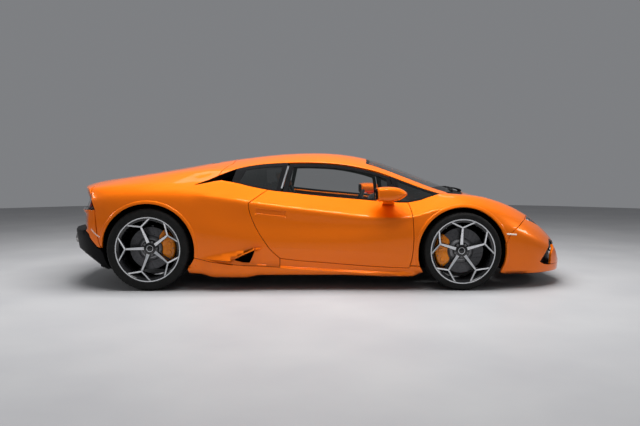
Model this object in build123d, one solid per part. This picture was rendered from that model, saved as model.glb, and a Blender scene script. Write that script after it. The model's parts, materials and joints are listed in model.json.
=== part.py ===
"""Mid-engined two-seat coupe, full size, as an assembly of separate named pieces.

Frame: millimetres, +X forward, +Y to the car's left, +Z up.  The origin is on the
ground under the middle of the car's length and width.
"""
from build123d import *
import math
import os

os.makedirs("parts", exist_ok=True)

# ------------------------------------------------------------------ driving sizes
LENGTH = 4459.0
X_FRONT, X_REAR = 1225.0, -1395.0          # axle lines (wheelbase 2620)
TRACK_F, TRACK_R = 1668.0, 1620.0
R_TYRE_F, R_TYRE_R = 327.5, 345.5
W_TYRE_F, W_TYRE_R = 240.0, 290.0
R_RIM = 270.0                              # rim flange
R_ARCH_F, R_ARCH_R = 372.0, 386.0
Z_ARCH_F, Z_ARCH_R = 321.0, 338.0          # arch circle centres
Y_KING = 781.5                             # steering axis, half spacing
SKIN = 20.0                                # outer panels
DOOR_T = 92.0                              # whole door
GAP = 8.0                                  # shut gap of everything that moves
GLASS = 8.0
BELLY = 122.0                              # lowest bodywork

# ------------------------------------------------------------------ body sections
# Half sections from below to the top centre line.  Columns:
#  x | zb underside, yb its half width | lower edge y2 z2 | widest line y3 z3 |
#  shoulder y4 z4 | belt or lid edge y5 z5 | roof edge y6 z6 | crown y7 z7 | top z8
SECTIONS = [
    (-2229.5, 300, 250, 300, 318, 312, 400, 250, 500, 200, 520, 100, 532, 50, 535, 536),
    (-2192, 250, 330, 400, 275, 415, 420, 350, 610, 285, 680, 160, 730, 80, 738, 741),
    (-2150, 225, 400, 480, 258, 500, 430, 435, 700, 350, 800, 180, 848, 90, 857, 860),
    (-2075, 190, 500, 620, 245, 655, 440, 615, 730, 535, 828, 310, 872, 155, 882, 886),
    (-1970, 165, 590, 745, 245, 805, 440, 785, 750, 728, 840, 450, 892, 225, 905, 910),
    (-1850, 145, 650, 830, 250, 890, 450, 885, 768, 820, 852, 515, 908, 257, 923, 928),
    (-1700, 132, 680, 885, 255, 932, 455, 922, 784, 850, 866, 548, 930, 274, 947, 952),
    (-1395, 124, 700, 915, 230, 961, 468, 938, 790, 862, 882, 572, 968, 286, 991, 998),
    (-1010, 122, 700, 926, 160, 958, 455, 932, 780, 824, 884, 610, 1010, 303, 1055, 1066),
    (-650, 122, 700, 925, 155, 950, 405, 932, 748, 798, 889, 604, 1028, 300, 1102, 1120),
    (-300, 122, 700, 925, 155, 944, 400, 932, 700, 800, 828, 575, 1066, 288, 1142, 1157),
    (50, 122, 700, 925, 155, 942, 400, 930, 660, 805, 788, 580, 1070, 290, 1149, 1164),
    (388, 122, 700, 925, 155, 942, 400, 930, 622, 805, 757, 600, 1030, 300, 1115, 1130),
    (600, 122, 700, 925, 155, 944, 400, 932, 612, 803, 740, 625, 972, 312, 1062, 1080),
    (820, 122, 700, 930, 160, 950, 420, 936, 630, 800, 735, 672, 888, 336, 985, 1003),
    (1063, 122, 700, 935, 200, 958, 470, 945, 680, 790, 785, 722, 803, 361, 885, 906),
    (1250, 124, 700, 925, 230, 960, 470, 942, 690, 770, 795, 560, 806, 280, 822, 830),
    (1500, 128, 700, 900, 220, 935, 450, 905, 640, 760, 738, 520, 752, 260, 762, 766),
    (1720, 134, 680, 860, 190, 895, 420, 860, 560, 700, 662, 470, 680, 235, 694, 698),
    (1900, 142, 640, 790, 180, 815, 360, 775, 480, 630, 560, 420, 588, 210, 606, 612),
    (2050, 150, 580, 690, 178, 700, 310, 660, 400, 530, 460, 350, 492, 175, 516, 524),
    (2150, 158, 480, 560, 178, 570, 270, 540, 340, 430, 385, 290, 412, 145, 436, 444),
    (2229.5, 170, 300, 380, 185, 390, 240, 370, 280, 300, 310, 200, 330, 100, 342, 346),
]


def inset(points, t):
    """Half-section polygon moved inwards by t, its first and last point kept on their rows."""
    full = points + [(-y, z) for y, z in reversed(points) if y > 0.01]
    n, moved = len(full), []
    for i in range(len(points)):
        (ay, az), (by, bz), (cy, cz) = full[i - 1], full[i], full[(i + 1) % n]
        d1, d2 = (by - ay, bz - az), (cy - by, cz - bz)
        l1, l2 = math.hypot(*d1), math.hypot(*d2)
        n1, n2 = (-d1[1] / l1, d1[0] / l1), (-d2[1] / l2, d2[0] / l2)
        s = 1 + n1[0] * n2[0] + n1[1] * n2[1]
        k = t / max(s, 0.35)
        moved.append((by + (n1[0] + n2[0]) * k, bz + (n1[1] + n2[1]) * k))
    last = moved[-1]
    moved[-1] = (0.0, last[1])
    return moved


def polygon(points):
    return Face(Wire.make_polygon([Vector(*p) for p in points], close=True))


def hull(t, x0=-9e3, x1=9e3):
    """The body's outer form, t mm inside its skin, between the sections around x0 and x1."""
    xs = [row[0] for row in SECTIONS]
    first = max([i for i, x in enumerate(xs) if x <= x0] or [0])
    last = min([i for i, x in enumerate(xs) if x >= x1] or [len(xs) - 1])
    rings = []
    for i in range(first, last + 1):
        x, zb, yb, y2, z2, y3, z3, y4, z4, y5, z5, y6, z6, y7, z7, z8 = SECTIONS[i]
        half = [(yb, zb), (y2, z2), (y3, z3), (y4, z4), (y5, z5), (y6, z6), (y7, z7), (0.0, z8)]
        if t:
            half = inset(half, t)
            x += t * 1.5 if i == 0 else -t * 1.5 if i == len(xs) - 1 else 0
        rings.append([(x, y, z) for y, z in half] + [(x, -y, z) for y, z in reversed(half[:-1])])
    faces, n = [polygon(rings[0]), polygon(rings[-1])], len(rings[0])
    for a, b in zip(rings, rings[1:]):
        for k in range(n):
            m = (k + 1) % n
            if k == n - 1:                                  # flat underside, full width
                faces += [polygon([a[k], a[m], b[m]]), polygon([a[k], b[m], b[k]])]
            elif k < n // 2:
                faces += [polygon([a[k], a[m], b[m]]), polygon([a[k], b[m], b[k]])]
            else:                                           # mirrored split on the other side
                faces += [polygon([a[k], a[m], b[k]]), polygon([a[m], b[m], b[k]])]
    solid = Solid(Shell(faces))
    return solid if solid.volume > 0 else Solid(solid.wrapped.Reversed())


def side(points, y0, y1):
    """Side-view outline (x, z) as a prism from y0 to y1."""
    f = polygon([(x, y0, z) for x, z in points])
    return Solid.extrude(f, Vector(0, y1 - y0, 0))


def plan(points, z0, z1):
    """Plan-view outline (x, y) as a prism from z0 to z1."""
    f = polygon([(x, y, z0) for x, y in points])
    return Solid.extrude(f, Vector(0, 0, z1 - z0))


def both(half):
    """Closed plan outline from its left half, listed from the rear centre to the front centre."""
    return half + [(x, -y) for x, y in reversed(half) if abs(y) > 1e-6]


def box(x0, x1, y0, y1, z0, z1):
    return Pos((x0 + x1) / 2, (y0 + y1) / 2, (z0 + z1) / 2) * Box(x1 - x0, y1 - y0, z1 - z0)


def cyl_y(r, y0, y1, x=0.0, z=0.0):
    return Pos(x, (y0 + y1) / 2, z) * Rot(90, 0, 0) * Cylinder(r, abs(y1 - y0))


def cyl_z(r, z0, z1, x=0.0, y=0.0):
    return Pos(x, y, (z0 + z1) / 2) * Cylinder(r, z1 - z0)


def bar(p, q, r):
    """Round bar from p to q."""
    v = Vector(*q) - Vector(*p)
    return Plane(origin=p, z_dir=v) * Pos(0, 0, v.length / 2) * Cylinder(r, v.length)


def grow(points, d):
    """Closed outline (x, z) moved outwards by d; minus d moves it inwards."""
    area = sum(a[0] * b[1] - b[0] * a[1] for a, b in zip(points, points[1:] + points[:1]))
    sign, n, out = (1 if area > 0 else -1), len(points), []
    for i in range(n):
        a, b, c = points[i - 1], points[i], points[(i + 1) % n]
        d1, d2 = (b[0] - a[0], b[1] - a[1]), (c[0] - b[0], c[1] - b[1])
        l1, l2 = math.hypot(*d1), math.hypot(*d2)
        n1, n2 = (d1[1] / l1, -d1[0] / l1), (d2[1] / l2, -d2[0] / l2)
        k = sign * d / max(1 + n1[0] * n2[0] + n1[1] * n2[1], 0.4)
        out.append((b[0] + (n1[0] + n2[0]) * k, b[1] + (n1[1] + n2[1]) * k))
    return out


def mirrored(shape):
    return shape.mirror(Plane.XZ)


def solids(*shapes):
    """Every solid in the shapes over 50 mm3, as one compound."""
    found = []
    for s in shapes:
        found += [b for b in s.solids() if b.volume > 50]
    return Compound(found)


def save(name, shape, most=1):
    got = solids(shape) if not isinstance(shape, (list, tuple)) else solids(*shape)
    parts = sorted(got.solids(), key=lambda s: -s.volume)
    if len(parts) > most:
        print("NOTE", name, "had", len(parts), "solids, kept", most, [round(p.volume) for p in parts[:6]])
        parts = parts[:most]
    out = parts[0] if len(parts) == 1 else Compound(parts)
    export_step(out, f"parts/{name}.step")


# ------------------------------------------------------------------ outlines, side view (x, z)
BELT = [(-799, 920), (-559, 869), (-389, 836), (-220, 818), (-50, 797), (120, 780),
        (289, 765), (459, 750), (713, 731), (781, 731), (883, 750), (1063, 803)]
RAIL = [(901, 854), (733, 918), (562, 983), (388, 1027), (213, 1056), (30, 1068), (-140, 1071),
        (-317, 1065), (-494, 1052), (-667, 1021), (-835, 957), (-915, 919)]
GLASS_REAR = [(-1019, 881)]
DLO = BELT + RAIL + GLASS_REAR
DOOR = [(-406, 838), (-558, 731), (-554, 673), (-520, 575), (-478, 492), (-429, 418),
        (-373, 340), (-300, 268), (-132, 247), (34, 234), (284, 213), (534, 197), (775, 188),
        (797, 259), (812, 383), (812, 508), (804, 632), (788, 700), (772, 731), (713, 731),
        (459, 750), (289, 765), (120, 780), (-50, 797), (-220, 818), (-389, 836)]
SCOOP = [(-711, 259), (-496, 355), (-546, 226), (-604, 226)]
GLASS_SPLIT_R = (-290, -238)               # rear pillar line x at the belt and at the rail
GLASS_SPLIT_F = (690, 640)                 # front pillar line

H0, H1 = hull(0), hull(SKIN)
SKIN_SHELL = H0 - H1
FAR = 2600


def arch(side_sign):
    """Tools that cut the front and rear wheel openings on one side."""
    y0, y1 = (470, 1100) if side_sign > 0 else (-1100, -470)
    return [cyl_y(R_ARCH_F, y0, y1, X_FRONT, Z_ARCH_F), cyl_y(R_ARCH_R, y0, y1, X_REAR, Z_ARCH_R)]


def half_space_left():
    return box(-FAR, FAR, 0.0, 1200, -100, 1400)


# ------------------------------------------------------------------ lids, plan view (x, y)
WINDSCREEN = both([(478, 0), (470, 300), (455, 520), (560, 548), (820, 602), (1063, 655),
                   (1140, 668), (1205, 560), (1262, 330), (1285, 0)])
HOOD = both([(1365, 0), (1345, 330), (1300, 560), (1262, 655), (1420, 640), (1640, 575),
             (1850, 470), (2010, 385), (2080, 240), (2110, 0)])
ENGINE_LID = both([(-1905, 0), (-1895, 380), (-1852, 520), (-1720, 568), (-1395, 560), (-1010, 535),
                   (-775, 500), (-745, 440), (-738, 220), (-735, 0)])
HEADLIGHT = [(1805, 690), (1870, 560), (2060, 410), (2128, 395), (2090, 560), (2000, 700), (1880, 800)]


def column(outline, z0=400, z1=1300):
    return plan(outline, z0, z1)


# the gap is wider at the hood's nose and at the engine lid's tail, which swing forward and back a little
hood_tool, hood_gap = column(HOOD), column([(x + (14 if x > 1950 else 0), y) for x, y in grow(HOOD, GAP)])
lid_tool, lid_gap = column(ENGINE_LID, 600), column([(x - (6 if x < -1840 else 0), y) for x, y in grow(ENGINE_LID, GAP)], 600)
screen_tool = column(WINDSCREEN, 700)
lamp_left = plan(HEADLIGHT, 380, 900)
lamp_right = plan([(x, -y) for x, y in HEADLIGHT], 380, 900)

# side-view regions of the fixed panels
FENDER = [(850, 240), (806, 257), (821, 383), (821, 508), (813, 632), (798, 703), (784, 738),
          (883, 750), (1063, 803), (1120, 900), (2000, 900), (1720, 560), (1588, 470), (1540, 400),
          (1225, 321), (870, 300)]
NOSE = [(1520, 60), (1560, 300), (1590, 468), (1722, 558), (2002, 900), (2300, 900), (2300, 60)]
SKIRT = [(-1070, 60), (-1070, 300), (-1009, 276), (-711, 258), (-604, 226), (-546, 226),
         (-500, 320), (-470, 330), (-380, 300), (-305, 258), (-132, 239), (34, 226), (284, 205),
         (534, 189), (783, 178), (800, 240), (850, 240), (880, 200), (880, 60)]
QUARTER = [(-2300, 668), (-1868, 668), (-1815, 400), (-1780, 200), (-1500, 330), (-1070, 300), (-1009, 277),
           (-711, 259), (-604, 300), (-500, 322), (-470, 332), (-382, 302), (-392, 332),
           (-437, 414), (-486, 489), (-528, 573), (-562, 672), (-567, 736), (-414, 845),
           (-559, 869), (-799, 920), (-915, 919), (-835, 957), (-800, 1300), (-2300, 1300)]
TAIL_BUMPER = [(-2300, 662), (-1876, 662), (-1823, 400), (-1810, 340), (-1905, 445), (-1935, 540), (-2300, 560)]
DIFFUSER = [(-2300, 554), (-1941, 534), (-1911, 441), (-1806, 336), (-1780, 60), (-2300, 60)]
LAMP_BAND = [(-2300, 675), (-1872, 675), (-1905, 752), (-2300, 790)]

glass_cut = side(DLO, -1100, 1100)

# ------------------------------------------------------------------ outer skin panels
inner_floor = box(-FAR, FAR, -1100, 1100, -100, BELLY + 14)


def panel(region, *cuts, y0=2):
    """The skin inside a side-view region on the left, less the cuts."""
    body = SKIN_SHELL & side(region, y0, 1100)
    for c in cuts:
        body = body - c
    return body


left_arch = arch(1)
fender = panel(FENDER, *left_arch, hood_gap, lamp_left, glass_cut, screen_tool)
save("front_fenders", [fender, mirrored(fender)], 2)

nose = SKIN_SHELL & side(NOSE, -1100, 1100)
for c in (*left_arch, *arch(-1), hood_gap, lamp_left, lamp_right):
    nose = nose - c
INTAKE = [(2300, 215), (2300, 318), (1990, 330), (1940, 300), (1985, 205)]
for s in (1, -1):
    nose = nose - box(1900, 2300, min(s * 260, s * 640), max(s * 260, s * 640), 212, 312)
nose = nose - box(2150, 2300, -180, 180, 235, 285)
TOW_X, TOW_Y, TOW_Z, TOW_DEPTH = 2150.0, -430.0, 345.0, 50.0   # mouth and depth of the tow-eye socket


def cyl_x(r, x0, x1, y, z):
    return Pos((x0 + x1) / 2, y, z) * Rot(0, 90, 0) * Cylinder(r, x1 - x0)


nose = nose + (cyl_x(36, TOW_X - TOW_DEPTH - 12, TOW_X + 150, TOW_Y, TOW_Z) & H0)
nose = nose - cyl_x(26, TOW_X, TOW_X + 300, TOW_Y, TOW_Z) - cyl_x(8, TOW_X - TOW_DEPTH, TOW_X + 10, TOW_Y, TOW_Z)
save("front_bumper", nose, 1)

quarter = panel(QUARTER, *left_arch, lid_gap, glass_cut)
quarter = quarter - box(-2300, -1885, -1100, 1100, 0, 1200)
band = side(LAMP_BAND, -1100, 1100)
quarter = quarter - band
save("rear_quarters", [quarter, mirrored(quarter)], 2)

tail = SKIN_SHELL & box(-2300, -1885, -1100, 1100, 740, 1300)
tail = tail - lid_gap - band
save("tail_panel", tail, 1)

tail_bumper = SKIN_SHELL & side(TAIL_BUMPER, -1100, 1100)
tail_bumper = tail_bumper - box(-2300, -1900, -235, 235, 520, 640)
plate_back = box(-2196, -2160, -255, 255, 500, 655) & H0
tail_bumper = tail_bumper + plate_back
for s in (-1, 1):
    tail_bumper = tail_bumper - Pos(-2170, s * 89, 600) * Rot(0, 90, 0) * Cylinder(3, 60)
save("rear_bumper", tail_bumper, 1)

skirt = panel(SKIRT, *left_arch, side(SCOOP, 0, 1100), y0=643)
save("side_skirts", [skirt, mirrored(skirt)], 2)

# lamps
lamp = (hull(3) & plan(grow(HEADLIGHT, -2), 380, 900)) - hull(18)
lamp = lamp - left_arch[0]
save("headlights", [lamp, mirrored(lamp)], 2)
tail_lamp = (hull(4) - hull(18)) & side(grow(LAMP_BAND, -2), 470, 1100)
save("taillights", [tail_lamp, mirrored(tail_lamp)], 2)
grille = ((hull(14) - hull(26)) & side(grow(LAMP_BAND, -2), -466, 466)) & box(-2300, -2040, -466, 466, 0, 1000)
save("rear_grille", grille, 1)

# roof with pillars
ROOF = [(-800, 1300), (-835, 957), (-667, 900), (-559, 869), (883, 750), (1063, 803), (1120, 900), (1120, 1300)]
roof = SKIN_SHELL & side([(-800, 1300), (-835, 957), (-830, 700), (1118, 700), (1118, 1300)], -1100, 1100)
below = side([(-900, 600), (-900, 935), (-799, 921), (-559, 870), (-389, 840), (-220, 822), (-50, 801), (120, 784),
              (289, 769), (459, 754), (713, 736), (783, 738), (883, 752), (1063, 805), (1140, 850), (1140, 600)], -1100, 1100)
roof = roof - below - glass_cut - screen_tool - lid_gap - fender - mirrored(fender)
save("roof_frame", roof, 1)

screen = (hull(2) - hull(2 + GLASS)) & column([(x, y) for x, y in grow(WINDSCREEN, -2)], 700)
save("windscreen", screen, 1)
cowl_outline = both([(1289, 0), (1266, 332), (1209, 562), (1146, 672), (1190, 720), (1254, 660), (1292, 566), (1337, 336), (1357, 0)])
cowl = (hull(16) - hull(34)) & column(cowl_outline, 650)
cowl = cowl - fender - mirrored(fender)
save("cowl", cowl, 1)

# ------------------------------------------------------------------ side glass
zb, zt = 700, 1100
rear_line, front_line = GLASS_SPLIT_R, GLASS_SPLIT_F


def between(x0b, x0t, x1b, x1t):
    return side([(x0b, 740), (x0t, 1080), (x0t, 1200), (x1t, 1200), (x1t, 1080), (x1b, 740), (x1b, 600), (x0b, 600)], 100, 1100)


pane = (hull(3) - hull(3 + GLASS))
dlo_in = side(grow(DLO, -1), 100, 1100)
dlo_door = side(grow([(x, z) for x, z in DLO], -GAP), 100, 1100)
door_pane_low = side([(-400, 700)] + [(x, z + 0.0) for x, z in BELT if -400 <= x <= 781] + [(781, 700)], 100, 1100)
door_glass = (pane & between(rear_line[0] + 5, rear_line[1] + 5, front_line[0] - 5, front_line[1] - 5)
              & (side([(-389, 836.5), (-220, 818.5), (-50, 797.5), (120, 780.5), (289, 765.5), (459, 750.5), (713, 731.5),
                       (733, 908), (562, 973), (388, 1017), (213, 1046), (30, 1058), (-140, 1061), (-317, 1055), (-389, 1050)], 100, 1100)))
rear_pane = (pane & dlo_in & between(-700, -700, rear_line[0] - 5, rear_line[1] - 5))
front_pane = (pane & dlo_in & between(front_line[0] + 5, front_line[1] + 5, 1200, 1200))
save("quarter_glass", [rear_pane, mirrored(rear_pane), front_pane, mirrored(front_pane)], 4)

# ------------------------------------------------------------------ doors
HD0, HD1, HD2, HD3 = (hull(t, -600, 830) for t in (0, SKIN, SKIN - 1, DOOR_T))
door_skin = (HD0 & side(DOOR, 100, 1100)) - HD1
# the thick inner part stands 45 mm inside the outline, and clears the wide sill inboard
DOOR_IN = [(-380, 790), (-500, 715), (-500, 660), (-470, 585), (-435, 512), (-385, 440), (-325, 365),
           (-270, 315), (-120, 295), (34, 282), (284, 261), (534, 245), (735, 237), (752, 300), (764, 385),
           (764, 505), (757, 620), (740, 680), (459, 700), (289, 715), (120, 730), (-50, 748), (-220, 769)]
door_inner = (HD2 & side(DOOR_IN, 100, 1100)) - HD3
door_inner = door_inner & box(-500, 800, 700, 1100, 205, 900)
door_left = (door_skin + door_inner)
save("door_left", door_left, 1)
save("door_right", mirrored(door_left), 1)
save("door_glass_left", door_glass, 1)
save("door_glass_right", mirrored(door_glass), 1)

# mirror: a tapered shell on a short arm that stands on the door top
MX, MY, MZ = 600.0, 968.0, 826.0
# rows from the inboard to the outboard end: y | length | height | x shift | z shift
mirror_rows = [(-112, 150, 66, 20, -2), (-70, 222, 98, 8, 0), (40, 232, 104, 0, 2), (104, 150, 70, -22, 2)]
faces = []
for y, length, height, dx, dz in mirror_rows:
    faces.append(Plane(origin=(MX + dx, MY + y, MZ + dz), x_dir=(1, 0, 0), z_dir=(0, 1, 0)) * Ellipse(length / 2, height / 2))
mirror = loft([f.face() if hasattr(f, "face") else f for f in faces])
arm = side([(572, 800), (600, 735), (672, 729), (652, 800)], 792, 900)
arm = arm - side([(500, 600), (500, 752), (720, 734), (720, 600)], 700, 811)
arm = arm & box(500, 720, 780, 900, 700, 900)
mirror = mirror + arm
mirror = mirror - HD0 - door_glass
save("mirror_left", mirror, 1)
save("mirror_right", mirrored(mirror), 1)

# ------------------------------------------------------------------ lids
hood = (H0 & hood_tool) - H1
save("hood", hood, 1)
lid = (H0 & lid_tool) - H1
for k in range(4):
    x = -930 - 210 * k
    lid = lid - box(x - 46, x + 46, -300, 300, 700, 1300)
save("engine_cover", lid, 1)

# ------------------------------------------------------------------ lower structure
tray = SKIN_SHELL & plan(both([(-1776, 0), (-1776, 640), (1516, 640), (1516, 0)]), 100, 160)
for c in (*left_arch, *arch(-1)):
    tray = tray - c
save("undertray", tray, 1)

floor = box(-660, 835, -690, 690, 144, 172) + box(-640, 700, -115, 115, 170, 400)
floor = floor + box(-660, -625, -690, 690, 144, 640) + box(800, 835, -460, 460, 144, 560)
for s in (1, -1):
    floor = floor + box(-640, 820, min(s * 689, s * 815), max(s * 689, s * 815), 166, 330)
save("tub", floor, 1)
pads = []
for x in (-900, 720):
    pads.append(box(x - 45, x + 45, 690, 750, 112, 140) - H0)
for p in list(pads):
    pads.append(mirrored(p))
save("jacking_pads", pads, 4)

diffuser = (H0 - H1) & side(DIFFUSER, -1100, 1100)
diffuser = diffuser - arch(1)[1] - arch(-1)[1]
for s in (1, -1):
    diffuser = diffuser - box(-2300, -2050, min(s * 250, s * 520), max(s * 250, s * 520), 330, 470)
for y in (-420, -140, 140, 420):
    fin = side([(-1830, 150), (-2190, 260), (-2190, 205), (-1900, 112)], y - 5, y + 5)
    diffuser = diffuser + fin
save("diffuser", diffuser, 1)
splitter_half = [(1700, 0), (1700, 640), (1900, 640), (2070, 570), (2165, 470), (2212, 330), (2205, 0)]
splitter = plan(both(splitter_half), 138, 152)
splitter = splitter - SKIN_SHELL - tray
save("front_splitter", splitter, 1)

# intake meshes behind the bumper openings
mesh_half = [(1905, 640), (1917, 640), (2062, 380), (2130, 200), (2150, 0), (2138, 0), (2118, 194), (2052, 372)]
mesh_f = plan(both([(2138, 0), (2118, 194), (2052, 372), (1905, 632), (1917, 640), (2064, 380), (2130, 200), (2150, 0)]), 190, 330)
mesh_f = (mesh_f & H1) - nose - splitter
save("front_grilles", mesh_f, 1)

# ------------------------------------------------------------------ arch liners
liners = []
for x, z, r, y0, y1 in ((X_FRONT, Z_ARCH_F, 381, 500, 925), (X_REAR, Z_ARCH_R, 393, 560, 928)):
    ring = cyl_y(r + 5, y0, y1, x, z) - cyl_y(r, y0 - 5, y1 + 5, x, z)
    ring = ring - box(x - 600, x + 600, 0, 1200, -200, z - 60)
    ring = (ring & H1) - glass_cut
    liners += [ring, mirrored(ring)]
save("arch_liners", liners, 4)

# ------------------------------------------------------------------ engine, gearbox, exhaust
save("engine", box(-1290, -700, -330, 330, 190, 760), 1)
save("gearbox", box(-1760, -1300, -170, 170, 200, 470), 1)
ex = box(-2010, -1800, -430, 430, 330, 450) - box(-2011, -1799, -431, 431, 329, 329.5)
for s in (1, -1):
    for y in (338, 434):
        tube = Pos(-2080, s * y, 398) * Rot(0, 90, 0) * Cylinder(42, 150)
        ex = ex + tube
for s in (1, -1):
    for y in (338, 434):
        ex = ex - Pos(-2095, s * y, 398) * Rot(0, 90, 0) * Cylinder(37, 150)
save("exhaust", ex - diffuser, 1)

# ------------------------------------------------------------------ cabin
dash = side([(560, 560), (560, 640), (640, 730), (760, 742), (860, 720), (860, 560), (800, 480), (700, 430)], -700, 700)
dash = dash & hull(DOOR_T + 6, 300, 1000)
dash = dash - floor
save("dashboard", dash, 1)
SEAT_SIDE = [(-120, 190), (360, 190), (395, 330), (380, 372), (40, 322), (-60, 360), (-300, 880), (-372, 880),
             (-392, 840), (-220, 420), (-170, 300)]
seats = []
for y in (370.0,):
    seat = side(SEAT_SIDE, y - 240, y + 240)
    seat = seat & box(-600, 600, y - 240, y + 240, 176, 900)
    head = side([(-300, 880), (-372, 880), (-400, 1010), (-335, 1015)], y - 110, y + 110)
    seat = seat + head
    seat = seat - side([(-600, 700), (-600, 1100), (-300, 1100), (-240, 760)], y + 130, y + 260) \
        - side([(-600, 700), (-600, 1100), (-300, 1100), (-240, 760)], y - 260, y - 130)
    seats += [seat, mirrored(seat)]
save("seats", seats, 2)
rear_window = box(-640, -632, -470, 470, 646, 1078)
rear_window = rear_window & hull(SKIN + 3)
save("rear_window", rear_window, 1)

# steering wheel about its column axis
SW_C, SW_TILT = (418.0, 370.0, 640.0), 24.0   # hub centre, lean of the rim from upright
sw = Torus(172, 14) + Cylinder(36, 34)
for a in (0, 180, 270):
    sw = sw + Rot(0, 0, a) * Pos(95, 0, 0) * Box(160, 34, 10)
sw_plane = Plane(origin=SW_C, x_dir=(0, 1, 0), z_dir=(-math.cos(math.radians(SW_TILT)), 0, math.sin(math.radians(SW_TILT))))
save("steering_wheel", sw_plane * sw, 1)
col = sw_plane * (Pos(0, 0, -115) * Cylinder(24, 190))
save("steering_column", (col - dash - floor), 1)

# ------------------------------------------------------------------ wheels
# name | axle x | half track | hub z | tyre radius | tyre width | outer flange w | hub face w
WHEEL = {
    "front": (X_FRONT, TRACK_F / 2, R_TYRE_F, R_TYRE_F, W_TYRE_F, 112.0, 52.0, 190.0),
    "rear": (X_REAR, TRACK_R / 2, R_TYRE_R, R_TYRE_R, W_TYRE_R, 136.0, 56.0, 178.0),
}


def ring_of(profile):
    """Solid turned about the wheel axis from (w outward, r) points."""
    f = Face(Wire.make_polygon([Vector(r, 0, w) for w, r in profile], close=True))
    return Solid.revolve(f, 360, Axis.Z)


def wheel_parts(kind):
    x, half, z, R, W, flange, hub, r_disc = WHEEL[kind]
    inner = -(W / 2 - 6)
    tyre = ring_of([(inner, 258), (inner - 4, 290), (inner + 6, R - 16), (inner + 24, R), (W / 2 - 26, R),
                    (W / 2 - 8, R - 14), (W / 2, R - 38), (W / 2 - 3, 272), (W / 2 - 12, 256)])
    barrel = ring_of([(inner + 2, 256), (inner + 2, 244), (inner + 30, 236), (flange - 26, 238), (flange - 2, 250),
                      (flange, 270), (flange - 9, 270), (flange - 12, 254.5), (inner + 12, 254.5)])
    back = inner - 0.0
    tyre = tyre - barrel
    tyre = tyre - ring_of([(-200, 0), (-200, 255), (200, 255), (200, 0)])
    rim = barrel + Pos(0, 0, hub - 12) * Cylinder(72, 24)
    top_in, top_out = hub, flange - 4

    def spoke(a0, r0, a1, r1, width, thick):
        """Flat bar between two polar points on the dished face."""
        def w_at(r):
            return top_in + (top_out - top_in) * ((r - 55) / (262 - 55)) ** 1.25 if r > 55 else top_in
        p = Vector(r0 * math.cos(a0), r0 * math.sin(a0), w_at(r0) - thick / 2)
        q = Vector(r1 * math.cos(a1), r1 * math.sin(a1), w_at(r1) - thick / 2)
        d = (q - p).normalized()
        pl = Plane(origin=p, x_dir=d, z_dir=Vector(0, 0, 1) - d * d.Z)
        return pl * Pos((q - p).length / 2, 0, 0) * Box((q - p).length + 10, width, thick)

    for k in range(5):
        a = math.radians(90 + 72 * k)
        rim = rim + spoke(a, 50, a, 206, 22, 20)
        for s in (1, -1):
            rim = rim + spoke(a, 203, a + s * math.radians(21), 250, 16, 20)
    rim = rim - Pos(0, 0, hub - 60) * Cylinder(31, 100)
    disc = ring_of([(-14, 62), (-14, r_disc), (16, r_disc), (16, 112), (18, 62)]) + Pos(0, 0, hub / 2 - 5) * Cylinder(70, hub - 24)
    disc = ring_of([(-14, 112), (-14, r_disc), (16, r_disc), (16, 92), (hub - 26, 80), (hub - 26, 31), (hub - 34, 31),
                    (hub - 34, 72), (6, 84), (6, 104), (-2, 112)])
    return rim, tyre, disc


def place(shape, kind, left):
    x, half, z = WHEEL[kind][:3]
    moved = shape.rotate(Axis.X, -90)                  # local +Z becomes +Y, outward on the left
    moved = moved.translate(Vector(x, half, z))
    return moved if left else mirrored(moved)


for kind in ("front", "rear"):
    rim, tyre, disc = wheel_parts(kind)
    for tag, left in (("left", True), ("right", False)):
        save(f"rim_{kind}_{tag}", place(rim, kind, left), 1)
        save(f"tyre_{kind}_{tag}", place(tyre, kind, left), 1)
        save(f"disc_{kind}_{tag}", place(disc, kind, left), 1)

# ------------------------------------------------------------------ knuckles, calipers, arms (left, mirrored)
KING_BOT, KING_TOP = 205.0, 480.0


def caliper(x, y, z, r_disc, a0, a1):
    """Block over the disc's edge between two angles about the axle, seen from the car's left."""
    c = cyl_y(r_disc + 34, y - 52, y + 40, x, z) - cyl_y(r_disc - 62, y - 60, y + 50, x, z)
    c = c - (cyl_y(r_disc + 8, y - 22, y + 24, x, z))
    pts = [(x, z)] + [(x + 400 * math.cos(math.radians(a)), z + 400 * math.sin(math.radians(a))) for a in (a0, (a0 + a1) / 2, a1)]
    return c & side(pts, y - 100, y + 100)


xf, yf, zf = X_FRONT, TRACK_F / 2, R_TYRE_F
hub_f = WHEEL["front"][6]
knuckle = cyl_y(60, yf - 88, yf - 26, xf, zf) + cyl_y(30, yf - 30, yf + hub_f - 14, xf, zf)
knuckle = knuckle + side([(xf - 32, KING_BOT), (xf + 32, KING_BOT), (xf + 26, KING_TOP), (xf - 26, KING_TOP)], yf - 80, yf - 36)
knuckle = knuckle + box(xf - 170, xf + 10, yf - 74, yf - 54, zf - 40, zf + 40)
knuckle = knuckle - box(xf - 200, xf - 150, yf - 100, yf, zf - 60, zf + 60)
caliper_f = caliper(xf, yf, zf, WHEEL["front"][7], 150, 208)
knuckle = knuckle - caliper_f
save("knuckle_left", knuckle, 1)
save("knuckle_right", mirrored(knuckle), 1)
save("caliper_front_left", caliper_f, 1)
save("caliper_front_right", mirrored(caliper_f), 1)

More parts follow.
